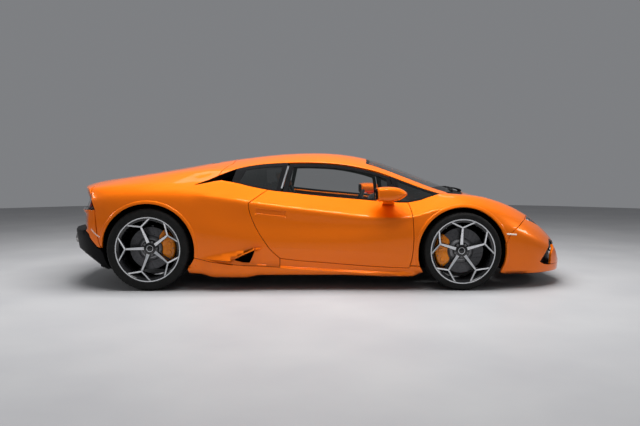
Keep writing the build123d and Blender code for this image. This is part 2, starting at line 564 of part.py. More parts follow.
xr, yr, zr = X_REAR, TRACK_R / 2, R_TYRE_R
hub_r = WHEEL["rear"][6]
upright = cyl_y(62, yr - 88, yr - 26, xr, zr) + cyl_y(30, yr - 30, yr + hub_r - 14, xr, zr)
upright = upright + side([(xr - 60, 200), (xr + 60, 200), (xr + 40, 500), (xr - 40, 500)], yr - 80, yr - 36)
upright = upright + box(xr - 10, xr + 160, yr - 74, yr - 54, zr - 40, zr + 40)
caliper_r = caliper(xr, yr, zr, WHEEL["rear"][7], -28, 30)
upright = upright - caliper_r
save("rear_uprights", [upright, mirrored(upright)], 2)
save("rear_calipers", [caliper_r, mirrored(caliper_r)], 2)

arms_f = []
for z, y_in in ((KING_BOT - 22, 430), (KING_TOP + 22, 430)):
    ball = cyl_z(22, z - 14, z + 14, xf, Y_KING)
    a = ball + bar((xf, Y_KING, z), (xf - 150, y_in, z), 13) + bar((xf, Y_KING, z), (xf + 150, y_in, z), 13)
    arms_f.append(a)
cradle_f = box(xf - 190, xf + 190, 380, 440, 165, 560)
arms_front = (arms_f[0] + cradle_f + arms_f[1])
link = box(xf - 170, xf + 170, -385, 385, 170, 215)
subframe_f = arms_front + link + mirrored(arms_front)
save("front_suspension", subframe_f, 1)

arms_r = cyl_z(22, 160, 194, xr, yr - 58)
arm_parts = None
for z in (178, 520):
    ball = cyl_z(22, z - 16, z + 18 if z < 300 else z + 14, xr, yr - 58)
    a = ball + bar((xr, yr - 58, z), (xr - 150, 400, z), 14) + bar((xr, yr - 58, z), (xr + 150, 400, z), 14)
    arm_parts = a if arm_parts is None else arm_parts + a
shaft = cyl_y(20, 170, yr - 92, xr, zr)
cradle_r = box(xr - 190, xr + 190, 340, 400, 160, 560) - cyl_y(30, 300, 420, xr, zr)
rear_sub = arm_parts + cradle_r
link_r = box(xr - 180, xr + 180, -345, 345, 160, 190)
subframe_r = rear_sub + link_r + mirrored(rear_sub)
save("rear_suspension", subframe_r, 1)
save("drive_shafts", [shaft, mirrored(shaft)], 2)

# ------------------------------------------------------------------ luggage bay
bay = box(1480, 1800, -360, 360, 260, 620) - box(1492, 1788, -348, 348, 272, 700)
bay = bay & hull(SKIN + 12)
save("luggage_bay", bay, 1)
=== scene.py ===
import bpy, bmesh, json, math, random
import numpy as np
from mathutils import Vector, Matrix, noise
from mathutils.bvhtree import BVHTree
from mathutils.geometry import delaunay_2d_cdt

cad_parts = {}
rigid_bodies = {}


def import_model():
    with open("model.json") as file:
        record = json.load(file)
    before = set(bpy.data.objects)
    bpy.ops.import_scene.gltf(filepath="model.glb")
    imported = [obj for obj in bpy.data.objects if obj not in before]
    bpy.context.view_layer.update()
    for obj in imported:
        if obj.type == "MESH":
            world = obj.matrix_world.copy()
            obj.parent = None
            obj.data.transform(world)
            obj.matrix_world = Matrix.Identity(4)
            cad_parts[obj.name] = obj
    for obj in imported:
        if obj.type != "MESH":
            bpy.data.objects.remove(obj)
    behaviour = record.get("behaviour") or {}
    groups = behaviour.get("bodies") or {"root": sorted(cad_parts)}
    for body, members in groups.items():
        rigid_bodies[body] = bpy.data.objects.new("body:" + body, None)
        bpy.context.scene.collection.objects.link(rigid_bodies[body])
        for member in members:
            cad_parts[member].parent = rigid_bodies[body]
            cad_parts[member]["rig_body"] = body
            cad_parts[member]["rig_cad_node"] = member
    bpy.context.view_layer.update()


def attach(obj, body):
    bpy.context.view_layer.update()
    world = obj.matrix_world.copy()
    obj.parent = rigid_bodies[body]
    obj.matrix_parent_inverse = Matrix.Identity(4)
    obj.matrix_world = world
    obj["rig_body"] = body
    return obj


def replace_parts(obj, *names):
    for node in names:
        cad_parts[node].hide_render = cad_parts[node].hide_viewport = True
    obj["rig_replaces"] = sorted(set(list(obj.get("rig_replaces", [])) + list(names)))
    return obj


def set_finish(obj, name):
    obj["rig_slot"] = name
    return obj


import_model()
random.seed(7)

X_F, X_R = 1.225, -1.395
Z_F, Z_R = 0.3275, 0.3455
ARCH = {"front": (X_F, 0.321, 0.372), "rear": (X_R, 0.338, 0.386)}
GAP = 0.0020           # half of a shut line

# =====================================================================================
# materials
# =====================================================================================


def new_mat(name):
    m = bpy.data.materials.new(name)
    m.use_nodes = True
    nt = m.node_tree
    for n in list(nt.nodes):
        nt.nodes.remove(n)
    out = nt.nodes.new("ShaderNodeOutputMaterial")
    sh = nt.nodes.new("ShaderNodeBsdfPrincipled")
    nt.links.new(sh.outputs[0], out.inputs[0])
    return m, nt, sh


def node(nt, kind, **vals):
    n = nt.nodes.new(kind)
    for k, v in vals.items():
        if k in n.inputs:
            n.inputs[k].default_value = v
        else:
            setattr(n, k, v)
    return n


def ramp(nt, fac, stops):
    r = nt.nodes.new("ShaderNodeValToRGB")
    while len(r.color_ramp.elements) < len(stops):
        r.color_ramp.elements.new(0.5)
    for e, (p, c) in zip(r.color_ramp.elements, stops):
        e.position = p
        e.color = c
    nt.links.new(fac, r.inputs[0])
    return r


def coords(nt):
    return nt.nodes.new("ShaderNodeTexCoord").outputs["Object"]


def bump(nt, sh, height, strength, distance):
    b = nt.nodes.new("ShaderNodeBump")
    b.inputs["Strength"].default_value = strength
    b.inputs["Distance"].default_value = distance
    nt.links.new(height, b.inputs["Height"])
    nt.links.new(b.outputs[0], sh.inputs["Normal"])
    return b


def mat_paint():
    """Pearl orange: fine metal flake in an orange base, under a clear coat."""
    m, nt, sh = new_mat("paint_orange")
    co = coords(nt)
    tone = node(nt, "ShaderNodeTexNoise", Scale=2.2, Detail=3.0)
    nt.links.new(co, tone.inputs["Vector"])
    flake = node(nt, "ShaderNodeTexVoronoi", Scale=2600.0)
    nt.links.new(co, flake.inputs["Vector"])
    base = ramp(nt, tone.outputs["Fac"], [(0.3, (0.92, 0.172, 0.0, 1)), (0.7, (0.90, 0.162, 0.0, 1))])
    spark = ramp(nt, flake.outputs["Distance"], [(0.0, (1.0, 0.30, 0.002, 1)), (0.35, (0.93, 0.180, 0.0, 1)), (1.0, (0.88, 0.150, 0.0, 1))])
    mix = nt.nodes.new("ShaderNodeMix")
    mix.data_type = "RGBA"
    mix.inputs[0].default_value = 0.35
    nt.links.new(base.outputs[0], mix.inputs[6])
    nt.links.new(spark.outputs[0], mix.inputs[7])
    nt.links.new(mix.outputs[2], sh.inputs["Base Color"])
    sh.inputs["Metallic"].default_value = 0.35
    sh.inputs["Specular IOR Level"].default_value = 0.15
    rough = node(nt, "ShaderNodeTexNoise", Scale=14.0, Detail=3.0)
    nt.links.new(co, rough.inputs["Vector"])
    rr = nt.nodes.new("ShaderNodeMapRange")
    rr.inputs["To Min"].default_value = 0.30
    rr.inputs["To Max"].default_value = 0.38
    nt.links.new(rough.outputs["Fac"], rr.inputs["Value"])
    nt.links.new(rr.outputs[0], sh.inputs["Roughness"])
    peel = node(nt, "ShaderNodeTexNoise", Scale=420.0, Detail=1.0)
    nt.links.new(co, peel.inputs["Vector"])
    bump(nt, sh, peel.outputs["Fac"], 0.035, 0.0004)
    sh.inputs["Coat Weight"].default_value = 1.0
    sh.inputs["Coat Roughness"].default_value = 0.03
    sh.inputs["Coat IOR"].default_value = 1.30
    return m


def mat_simple(name, color, rough, metal=0.0, grain=(300.0, 0.15, 0.0004), vary=0.15, coat=0.0, spec=0.25, ior=1.5):
    """Moulded or cast surface: colour mottled slightly, roughness varied, fine grain in the bump."""
    m, nt, sh = new_mat(name)
    co = coords(nt)
    big = node(nt, "ShaderNodeTexNoise", Scale=6.0, Detail=4.0)
    nt.links.new(co, big.inputs["Vector"])
    lo = tuple(c * (1 - vary) for c in color) + (1,)
    hi = tuple(min(1, c * (1 + vary)) for c in color) + (1,)
    r = ramp(nt, big.outputs["Fac"], [(0.3, lo), (0.7, hi)])
    nt.links.new(r.outputs[0], sh.inputs["Base Color"])
    rr = nt.nodes.new("ShaderNodeMapRange")
    rr.inputs["To Min"].default_value = max(0.02, rough * 0.85)
    rr.inputs["To Max"].default_value = min(1.0, rough * 1.15)
    nt.links.new(big.outputs["Fac"], rr.inputs["Value"])
    nt.links.new(rr.outputs[0], sh.inputs["Roughness"])
    fine = node(nt, "ShaderNodeTexNoise", Scale=grain[0], Detail=2.0)
    nt.links.new(co, fine.inputs["Vector"])
    bump(nt, sh, fine.outputs["Fac"], grain[1], grain[2])
    sh.inputs["Metallic"].default_value = metal
    sh.inputs["Coat Weight"].default_value = coat
    sh.inputs["Coat Roughness"].default_value = 0.05
    sh.inputs["Specular IOR Level"].default_value = spec
    sh.inputs["IOR"].default_value = ior
    return m


def mat_glass(name, tint, clear=0.4, coat=1.0):
    """Tinted pane: mostly see-through, with a hard polished reflection."""
    m, nt, sh = new_mat(name)
    co = coords(nt)
    n = node(nt, "ShaderNodeTexNoise", Scale=3.0, Detail=1.0)
    nt.links.new(co, n.inputs["Vector"])
    lo = tuple(c * 0.94 for c in tint) + (1,)
    hi = tuple(min(1, c * 1.06) for c in tint) + (1,)
    r = ramp(nt, n.outputs["Fac"], [(0.3, lo), (0.7, hi)])
    nt.links.new(r.outputs[0], sh.inputs["Base Color"])
    sh.inputs["Roughness"].default_value = 0.10
    sh.inputs["Alpha"].default_value = clear
    sh.inputs["Coat Weight"].default_value = coat
    sh.inputs["Coat Roughness"].default_value = 0.10
    sh.inputs["Specular IOR Level"].default_value = 0.7
    return m


def mat_emit(name, color, power):
    m, nt, sh = new_mat(name)
    sh.inputs["Base Color"].default_value = color + (1,)
    sh.inputs["Emission Color"].default_value = color + (1,)
    sh.inputs["Emission Strength"].default_value = power
    sh.inputs["Roughness"].default_value = 0.15
    sh.inputs["Coat Weight"].default_value = 1.0
    return m


def mat_mesh(name, scale=0.016):
    """Hexagon-like woven black mesh; its openings are not cut but painted near black, a painted shade behind the mesh.
    """
    m, nt, sh = new_mat(name)
    co = coords(nt)
    v = node(nt, "ShaderNodeTexVoronoi", Scale=1.0 / scale, Randomness=0.0)
    v.feature = "DISTANCE_TO_EDGE"
    nt.links.new(co, v.inputs["Vector"])
    # painted shade: the cell middles, where the openings would be, go near black for the shade behind the mesh; the
    # strands go from 0.045 along their middles to 0.03 at their sides
    r = ramp(nt, v.outputs["Distance"], [(0.0, (0.045, 0.045, 0.048, 1)), (0.12, (0.03, 0.03, 0.032, 1)), (0.16, (0.001, 0.001, 0.001, 1))])
    nt.links.new(r.outputs[0], sh.inputs["Base Color"])
    bump(nt, sh, v.outputs["Distance"], 1.0, 0.004)
    sh.inputs["Roughness"].default_value = 0.35
    return m


M = {}
M["paint"] = mat_paint()
M["black"] = mat_simple("black_gloss_trim", (0.006, 0.006, 0.007), 0.10, grain=(60.0, 0.02, 0.0002), coat=0.6)
M["satin"] = mat_simple("black_satin_plastic", (0.005, 0.005, 0.0055), 0.42, grain=(900.0, 0.30, 0.0004), spec=0.25, ior=1.22)
M["matt"] = mat_simple("black_matt_felt", (0.005, 0.005, 0.005), 0.90, grain=(600.0, 0.6, 0.001), spec=0.05, ior=1.15)
# grille mesh with painted shade in its openings
M["mesh"] = mat_mesh("grille_mesh")
M["glass"] = mat_glass("window_glass", (0.010, 0.013, 0.012), 0.24)
M["glass_dark"] = mat_glass("rear_side_glass", (0.006, 0.007, 0.007), 0.80)
M["screen"] = mat_glass("windscreen_glass", (0.010, 0.014, 0.013), 0.40)
M["lens"] = mat_glass("lamp_cover_clear", (0.55, 0.56, 0.58), 0.10)
M["smoke"] = mat_glass("tail_lamp_cover", (0.020, 0.002, 0.002), 0.45, 0.0)
M["marker"] = mat_simple("side_marker_clear", (0.90, 0.78, 0.66), 0.12, grain=(700.0, 0.10, 0.0004), coat=1.0, vary=0.06)
# rear side marker lens: pale pinkish colour, partly the red of the lens and partly a painted highlight
M["marker_red"] = mat_simple("side_marker_rear", (0.85, 0.55, 0.42), 0.12, grain=(700.0, 0.10, 0.0004), coat=1.0, vary=0.06)
M["plate"] = mat_simple("blank_plate", (0.62, 0.62, 0.60), 0.30, grain=(500.0, 0.06, 0.0003), vary=0.04)
M["lamp_white"] = mat_emit("lamp_light_guide", (0.95, 0.96, 1.0), 0.9)
M["lamp_red"] = mat_emit("tail_light_guide", (0.55, 0.01, 0.01), 0.5)
M["reflector"] = mat_simple("lamp_reflector", (0.75, 0.76, 0.78), 0.12, metal=1.0, grain=(80.0, 0.02, 0.0002), vary=0.05)
M["rim_black"] = mat_simple("wheel_gloss_black", (0.010, 0.010, 0.011), 0.16, metal=0.3, grain=(500.0, 0.04, 0.0003), coat=0.8)
M["rim_cut"] = mat_simple("wheel_turned_face", (0.80, 0.81, 0.83), 0.28, metal=0.65, grain=(1400.0, 0.10, 0.0002), vary=0.06)
M["disc"] = mat_simple("brake_disc", (0.10, 0.10, 0.105), 0.38, metal=0.75, grain=(900.0, 0.25, 0.0003), vary=0.25)
M["steel"] = mat_simple("dark_steel", (0.20, 0.20, 0.205), 0.36, metal=0.9, grain=(500.0, 0.2, 0.0004), vary=0.25)
M["alloy"] = mat_simple("cast_alloy", (0.30, 0.30, 0.31), 0.48, metal=0.85, grain=(350.0, 0.45, 0.0007), vary=0.2)
M["chrome"] = mat_simple("polished_tip", (0.42, 0.41, 0.40), 0.14, metal=1.0, grain=(200.0, 0.05, 0.0003), vary=0.12)
M["caliper"] = mat_simple("caliper_enamel", (1.0, 0.27, 0.0), 0.28, grain=(260.0, 0.12, 0.0004), coat=0.7, vary=0.08)
M["carpet"] = mat_simple("cabin_carpet", (0.012, 0.012, 0.013), 0.95, grain=(1500.0, 0.9, 0.002))
M["mirror"] = mat_simple("mirror_glass", (0.85, 0.87, 0.88), 0.02, metal=1.0, grain=(40.0, 0.0, 0.0001), vary=0.02)


def mat_tyre():
    m, nt, sh = new_mat("tyre_rubber")
    co = coords(nt)
    n = node(nt, "ShaderNodeTexNoise", Scale=30.0, Detail=5.0)
    nt.links.new(co, n.inputs["Vector"])
    r = ramp(nt, n.outputs["Fac"], [(0.3, (0.006, 0.006, 0.006, 1)), (0.7, (0.012, 0.0118, 0.0115, 1))])
    nt.links.new(r.outputs[0], sh.inputs["Base Color"])
    f = node(nt, "ShaderNodeTexNoise", Scale=700.0, Detail=2.0)
    nt.links.new(co, f.inputs["Vector"])
    bump(nt, sh, f.outputs["Fac"], 0.3, 0.0006)
    rr = nt.nodes.new("ShaderNodeMapRange")
    rr.inputs["To Min"].default_value = 0.52
    rr.inputs["To Max"].default_value = 0.72
    nt.links.new(n.outputs["Fac"], rr.inputs["Value"])
    nt.links.new(rr.outputs[0], sh.inputs["Roughness"])
    sh.inputs["IOR"].default_value = 1.28
    return m


def mat_leather(name, color, scale=260.0):
    m, nt, sh = new_mat(name)
    co = coords(nt)
    v = node(nt, "ShaderNodeTexVoronoi", Scale=scale)
    nt.links.new(co, v.inputs["Vector"])
    n = node(nt, "ShaderNodeTexNoise", Scale=9.0, Detail=4.0)
    nt.links.new(co, n.inputs["Vector"])
    lo = tuple(c * 0.7 for c in color) + (1,)
    hi = tuple(min(1, c * 1.3) for c in color) + (1,)
    r = ramp(nt, n.outputs["Fac"], [(0.3, lo), (0.7, hi)])
    nt.links.new(r.outputs[0], sh.inputs["Base Color"])
    bump(nt, sh, v.outputs["Distance"], 0.35, 0.0008)
    sh.inputs["Roughness"].default_value = 0.5
    sh.inputs["Sheen Weight"].default_value = 0.15
    return m


M["tyre"] = mat_tyre()
M["leather"] = mat_leather("black_hide", (0.016, 0.016, 0.017))
M["orange_hide"] = mat_leather("orange_hide", (0.75, 0.16, 0.01))

# =====================================================================================
# body surface: a control net through measured places, smoothed, creased on its lines
# =====================================================================================
# x | B bottom edge | R rocker edge | L lower side | W waist | S shoulder | T belt or fender crest |
# M between | U rail or lid edge | V crown | top centre height.   (y, z) in mm.
NET = [
    (-2229, (250, 300), (300, 318), (312, 400), (290, 470), (250, 500), (200, 520), (150, 528), (100, 532), (50, 535), 536),
    (-2192, (330, 250), (400, 275), (415, 420), (395, 520), (350, 610), (285, 680), (230, 715), (160, 730), (80, 738), 741),
    (-2150, (400, 225), (480, 258), (500, 430), (480, 565), (435, 700), (350, 800), (270, 832), (180, 848), (90, 857), 860),
    (-2075, (500, 190), (620, 245), (655, 440), (650, 590), (615, 730), (535, 828), (435, 856), (310, 872), (155, 882), 886),
    (-1970, (590, 165), (745, 245), (805, 440), (808, 610), (785, 750), (728, 840), (605, 872), (450, 892), (225, 905), 910),
    (-1850, (650, 145), (830, 250), (890, 450), (900, 630), (885, 768), (820, 852), (680, 886), (515, 908), (257, 923), 928),
    (-1700, (680, 132), (885, 255), (932, 455), (940, 650), (922, 784), (850, 866), (722, 901), (548, 930), (274, 947), 952),
    (-1550, (690, 126), (908, 230), (952, 460), (954, 665), (934, 794), (862, 875), (738, 915), (562, 950), (281, 969), 975),
    (-1395, (700, 124), (915, 230), (958, 465), (958, 675), (936, 800), (862, 882), (742, 928), (572, 968), (286, 991), 997),
    (-1200, (700, 122), (922, 190), (958, 460), (955, 655), (932, 802), (850, 886), (738, 942), (590, 992), (296, 1024), 1033),
    (-1010, (700, 122), (926, 148), (957, 450), (950, 630), (925, 798), (824, 884), (734, 940), (610, 1010), (303, 1055), 1068),
    (-830, (700, 122), (926, 142), (953, 430), (943, 600), (924, 780), (802, 912), (728, 952), (628, 1002), (304, 1078), 1094),
    (-650, (700, 122), (926, 141), (949, 415), (938, 575), (930, 752), (800, 890), (712, 962), (604, 1026), (300, 1099), 1119),
    (-480, (700, 122), (926, 141), (946, 405), (934, 550), (932, 722), (801, 850), (700, 966), (588, 1054), (294, 1122), 1140),
    (-300, (700, 122), (926, 141), (944, 400), (932, 540), (931, 700), (803, 828), (696, 962), (578, 1068), (289, 1140), 1156),
    (-80, (700, 122), (926, 141), (943, 400), (930, 530), (930, 673), (804, 801), (696, 948), (576, 1074), (288, 1150), 1165),
    (160, (700, 122), (926, 141), (943, 400), (930, 520), (929, 645), (805, 777), (700, 928), (584, 1064), (292, 1145), 1161),
    (388, (700, 122), (926, 142), (944, 405), (932, 520), (930, 620), (804, 757), (708, 900), (604, 1028), (302, 1117), 1134),
    (580, (700, 122), (928, 143), (946, 415), (935, 525), (931, 604), (802, 742), (720, 868), (628, 978), (314, 1066), 1085),
    (770, (700, 122), (930, 147), (951, 430), (940, 545), (932, 606), (799, 733), (732, 828), (660, 908), (330, 1001), 1021),
    (920, (700, 122), (934, 158), (955, 450), (946, 590), (933, 650), (797, 757), (744, 812), (690, 852), (345, 942), 961),
    (1063, (700, 123), (936, 205), (958, 465), (948, 625), (928, 700), (800, 783), (760, 797), (722, 806), (361, 888), 905),
    (1225, (700, 124), (928, 230), (960, 470), (948, 640), (918, 722), (818, 786), (742, 802), (660, 804), (335, 826), 840),
    (1400, (695, 127), (905, 225), (945, 460), (925, 610), (890, 694), (785, 763), (690, 785), (585, 778), (292, 790), 796),
    (1560, (675, 126), (885, 142), (915, 440), (892, 575), (852, 645), (745, 715), (648, 742), (535, 736), (268, 748), 752),
    (1720, (645, 120), (856, 130), (880, 410), (850, 520), (805, 582), (700, 650), (600, 682), (480, 678), (240, 690), 693),
    (1870, (605, 116), (806, 122), (822, 370), (790, 455), (742, 508), (640, 576), (542, 606), (415, 608), (207, 619), 622),
    (1990, (560, 113), (736, 117), (748, 325), (715, 392), (668, 440), (570, 500), (474, 528), (352, 534), (176, 543), 546),
    (2080, (510, 111), (662, 114), (670, 285), (632, 345), (586, 386), (495, 434), (400, 458), (290, 466), (145, 474), 477),
    (2150, (440, 110), (566, 113), (572, 250), (530, 305), (486, 340), (410, 378), (325, 397), (235, 406), (118, 412), 415),
    (2200, (350, 112), (455, 118), (460, 225), (415, 275), (375, 305), (310, 335), (245, 350), (175, 358), (88, 363), 366),
    (2229, (240, 126), (320, 140), (326, 212), (290, 245), (255, 262), (205, 278), (160, 285), (110, 289), (55, 292), 293),
]
# crease of each lengthwise line (R..V), at cabin stations and elsewhere
CREASE = {2: (0.62, 0.55), 3: (0.0, 0.0), 4: (0.0, 0.0), 5: (0.50, 0.18), 6: (0.62, 0.28), 7: (0.0, 0.12), 8: (0.45, 0.20), 9: (0.0, 0.0)}


def build_hull():
    rows = []
    for r in NET:
        x = r[0] / 1000
        half = [(0.0, r[1][1] / 1000)] + [(y / 1000, z / 1000) for y, z in r[1:10]] + [(0.0, r[10] / 1000)]
        ring = [(x, y, z) for y, z in half]                          # 0..10, left side, bottom to top
        ring += [(x, -y, z) for y, z in reversed(half[1:10])]       # 11..19, right side, top to bottom
        rows.append(ring)
    # fair every lengthwise line: least bending that stays within a few millimetres of the stations
    net = np.array(rows)
    xs = net[:, 0, 0]
    m = len(xs)
    D = np.zeros((m - 2, m))
    for i in range(1, m - 1):
        h0, h1 = abs(xs[i] - xs[i - 1]), abs(xs[i + 1] - xs[i])
        D[i - 1, i - 1], D[i - 1, i], D[i - 1, i + 1] = 1 / h0, -1 / h0 - 1 / h1, 1 / h1
    wgt = np.array([200.0 if (x < -1.9 or x > 1.8) else 1.0 for x in xs])
    A = np.diag(wgt) + 0.010 * D.T @ D
    for k in range(net.shape[1]):
        for c in (1, 2):
            fair = np.linalg.solve(A, wgt * net[:, k, c])
            net[:, k, c] += np.clip(fair - net[:, k, c], -0.006, 0.006)
    net[:, 0, 1] = net[:, 10, 1] = 0.0
    rows = [[tuple(q) for q in ring] for ring in net]
    n = len(rows[0])
    verts = [p for ring in rows for p in ring]
    faces = []
    for i in range(len(rows) - 1):
        for k in range(n):
            m = (k + 1) % n
            faces.append((i * n + k, i * n + m, (i + 1) * n + m, (i + 1) * n + k))
    # caps: centre column of points, strips to each side
    for end, row, push in ((0, 0, -0.0006), (len(rows) - 1, len(rows) - 1, 0.0006)):
        base = row * n
        mids = {0: base, 10: base + 10}
        for j in range(1, 10):
            a, b = rows[row][j], rows[row][n - j]
            verts.append((a[0] + push, 0.0, (a[2] + b[2]) / 2 * 0.35 + (rows[row][0][2] + (rows[row][10][2] - rows[row][0][2]) * j / 10) * 0.65))
            mids[j] = len(verts) - 1
        for j in range(10):
            left = (base + j, mids[j], mids[j + 1], base + j + 1)
            right = (mids[j], base + (n - j) % n, base + (n - j - 1) % n, mids[j + 1])
            for f in (left, right):
                f = tuple(dict.fromkeys(f))
                if len(f) >= 3:
                    faces.append(f if end == 0 else f[::-1])
    target = np.array(verts)
    me = bpy.data.meshes.new("net")
    me.from_pydata(verts, [], faces)
    me.validate()
    bm = bmesh.new()
    bm.from_mesh(me)
    bmesh.ops.recalc_face_normals(bm, faces=bm.faces)
    bm.to_mesh(me)
    bm.free()
    attr = me.attributes.new("crease_edge", "FLOAT", "EDGE")
    for e in me.edges:
        a, b = e.vertices
        if a < len(rows) * n and b < len(rows) * n:
            ia, ka, ib, kb = a // n, a % n, b // n, b % n
            if ka == kb and ia != ib:
                k = ka if ka <= 10 else n - ka
                if k in CREASE:
                    x = (rows[ia][0][0] + rows[ib][0][0]) / 2
                    cab = CREASE[k][0] if -1.0 < x < 1.1 else CREASE[k][1]
                    attr.data[e.index].value = cab
    ob = bpy.data.objects.new("net", me)
    bpy.context.scene.collection.objects.link(ob)
    mod = ob.modifiers.new("s", "SUBSURF")
    mod.levels = 1
    mod.use_limit_surface = True
    mod.quality = 4
    cur = target.copy()
    for _ in range(6):
        me.vertices.foreach_set("co", cur.ravel())
        me.update()
        dg = bpy.context.evaluated_depsgraph_get()
        ev = ob.evaluated_get(dg).to_mesh()
        lim = np.empty(len(ev.vertices) * 3)
        ev.vertices.foreach_get("co", lim)
        lim = lim.reshape(-1, 3)[: len(target)]
        ob.evaluated_get(dg).to_mesh_clear()
        cur = cur + (target - lim) * 0.9
    mod.levels = 3
    me.vertices.foreach_set("co", cur.ravel())
    me.update()
    dg = bpy.context.evaluated_depsgraph_get()
    ev = ob.evaluated_get(dg).to_mesh()
    ev.calc_loop_triangles()
    co = np.empty(len(ev.vertices) * 3)
    ev.vertices.foreach_get("co", co)
    no = np.empty(len(ev.vertices) * 3)
    ev.vertices.foreach_get("normal", no)
    tri = np.empty(len(ev.loop_triangles) * 3, dtype=int)
    ev.loop_triangles.foreach_get("vertices", tri)
    ob.evaluated_get(dg).to_mesh_clear()
    bpy.data.objects.remove(ob)
    bpy.data.meshes.remove(me)
    return co.reshape(-1, 3), no.reshape(-1, 3), tri.reshape(-1, 3)


TAIL_PLAN = [(0.0, -2.120), (0.15, -2.120), (0.28, -2.112), (0.40, -2.075), (0.57, -2.022), (0.70, -1.970), (0.78, -1.935), (0.85, -1.898), (0.90, -1.925), (1.0, -1.96)]
TAIL_RISE = [(0.0, 0.21), (0.12, 0.195), (0.33, -0.071), (0.484, -0.0945), (0.504, -0.012), (0.634, -0.010), (0.650, -0.028), (0.667, -0.028), (0.692, 0.006), (0.756, 0.026), (0.838, 0.006), (0.90, 0.004), (1.3, 0.004)]


def tail_limit(y, z):
    """How far back the tail may reach at this width and height."""
    y = abs(y)
    e = TAIL_PLAN[-1][1]
    for a, b in zip(TAIL_PLAN, TAIL_PLAN[1:]):
        if y <= b[0]:
            e = a[1] + (b[1] - a[1]) * (y - a[0]) / (b[0] - a[0])
            break
    d = TAIL_RISE[-1][1]
    for a, b in zip(TAIL_RISE, TAIL_RISE[1:]):
        if z <= b[0]:
            t = (z - a[0]) / (b[0] - a[0])
            d = a[1] + (b[1] - a[1]) * (t * t * (3 - 2 * t) if a[0] > 0.4 else t)
            break
    return e + d


def carve(q):
    if q.x > -1.78:
        return q
    lim = tail_limit(q.y, q.z)
    k = 0.010                                   # the two faces run into each other over a small radius
    m = min(1.0, max(0.0, 0.5 + 0.5 * (q.x - lim) / k))
    return Vector((lim + (q.x - lim) * m + k * m * (1 - m), q.y, q.z)) if m < 1.0 else q


class Surf:
    """A dense closed surface: rays meet it, and its normal is smooth."""

    def __init__(self, co, no, tri, trim=None):
        self.trim = trim
        self.co = [Vector(c) for c in co]
        self.no = [Vector(c) for c in no]
        self.tri = [tuple(t) for t in tri]
        self.bvh = BVHTree.FromPolygons(self.co, self.tri)

    def ray(self, o, d):
        p, n = self.raw(o, d)
        if self.trim is None:
            return p, n
        if d.x > -0.2 or o.x < -2.0 or (self.trim(p) - p).length < 1e-7:
            return self.cut(p, n)
        t0, t1 = 0.0, (p - o).length                # the clipped face lies somewhere before the raw one
        for _ in range(16):
            t = (t0 + t1) / 2
            m = o + d * t
            q, _, _, _ = self.bvh.ray_cast(Vector((-3.0, m.y, m.z)), Vector((1, 0, 0)))
            if q is not None and m.x > self.trim(q).x:
                t0 = t
            else:
                t1 = t
        m = o + d * t0
        return self.cut(*self.raw(Vector((-3.0, m.y, m.z)), Vector((1, 0, 0))))

    def raw(self, o, d):
        p, _, i, _ = self.bvh.ray_cast(o, d)
        if p is None:
            p, _, i, _ = self.bvh.find_nearest(o + d * 0.5)
        a, b, c = self.tri[i]
        A, B, C = self.co[a], self.co[b], self.co[c]
        v0, v1, v2 = B - A, C - A, p - A
        d00, d01, d11, d20, d21 = v0.dot(v0), v0.dot(v1), v1.dot(v1), v2.dot(v0), v2.dot(v1)
        den = d00 * d11 - d01 * d01 or 1e-12
        v = (d11 * d20 - d01 * d21) / den
        w = (d00 * d21 - d01 * d20) / den
        n = (self.no[a] * (1 - v - w) + self.no[b] * v + self.no[c] * w).normalized()
        return p, n

    def cut(self, p, n):
        if self.trim is None:
            return p, n
        q = self.trim(p)
        if (q - p).length < 1e-7:
            return p, n
        t1 = Vector((0, 0, 1)).cross(n)
        if t1.length < 0.1:
            t1 = Vector((0, 1, 0)).cross(n)
        t1.normalize()
        t2 = n.cross(t1)
        e = 0.0012
        a, b = self.trim(p + t1 * e) - self.trim(p - t1 * e), self.trim(p + t2 * e) - self.trim(p - t2 * e)
        m = a.cross(b)
        if m.length < 1e-12:
            return q, n
        m.normalize()
        return q, (m if m.dot(n) > 0 else -m)

    def near(self, q):
        p, n, i, _ = self.bvh.find_nearest(q)
        return self.cut(p, n)


hull_raw = build_hull()
HULL = Surf(*hull_raw, trim=carve)


def raw_x(y, z):
    """Where the unclipped tail surface lies behind a point."""
    q, _, _, _ = HULL.bvh.ray_cast(Vector((-3.0, y, z)), Vector((1, 0, 0)))
    return q.x if q is not None else 9.0


def tail_edge_top():
    """Edge along the top where the clipped tail meets the deck."""
    out = []
    for i in range(0, 43):
        y = 0.02 * i
        lo, hi = 0.80, 1.02
        if raw_x(y, lo) > tail_limit(y, lo):
            break
        for _ in range(22):
            mid = (lo + hi) / 2
            if raw_x(y, mid) < tail_limit(y, mid):
                lo = mid
            else:
                hi = mid
        out.append(Vector((tail_limit(y, lo), y, lo)))
    return out


# ways to look at the surface: each turns (u, v) into a ray and a point back into (u, v)
class Side:
    def __init__(self, sign=1):
        self.s = sign

    def ray(self, u, v):
        return Vector((u, self.s * 3.0, v)), Vector((0, -self.s, 0))

    def uv(self, p):
        return p[0], p[2]


class Top:
    def ray(self, u, v):
        return Vector((u, v, 3.0)), Vector((0, 0, -1))

    def uv(self, p):
        return p[0], p[1]


class Under:
    def ray(self, u, v):
        return Vector((u, v, -3.0)), Vector((0, 0, 1))

    def uv(self, p):
        return p[0], p[1]


class Polar:
    """Rays out from a line along x."""

    def __init__(self, y0=0.25, z0=0.5, r=0.7):
        self.y0, self.z0, self.r = y0, z0, r

    def ray(self, u, v):
        a = v / self.r
        return Vector((u, self.y0, self.z0)), Vector((0, math.cos(a), math.sin(a)))

    def uv(self, p):
        return p[0], math.atan2(p[2] - self.z0, p[1] - self.y0) * self.r


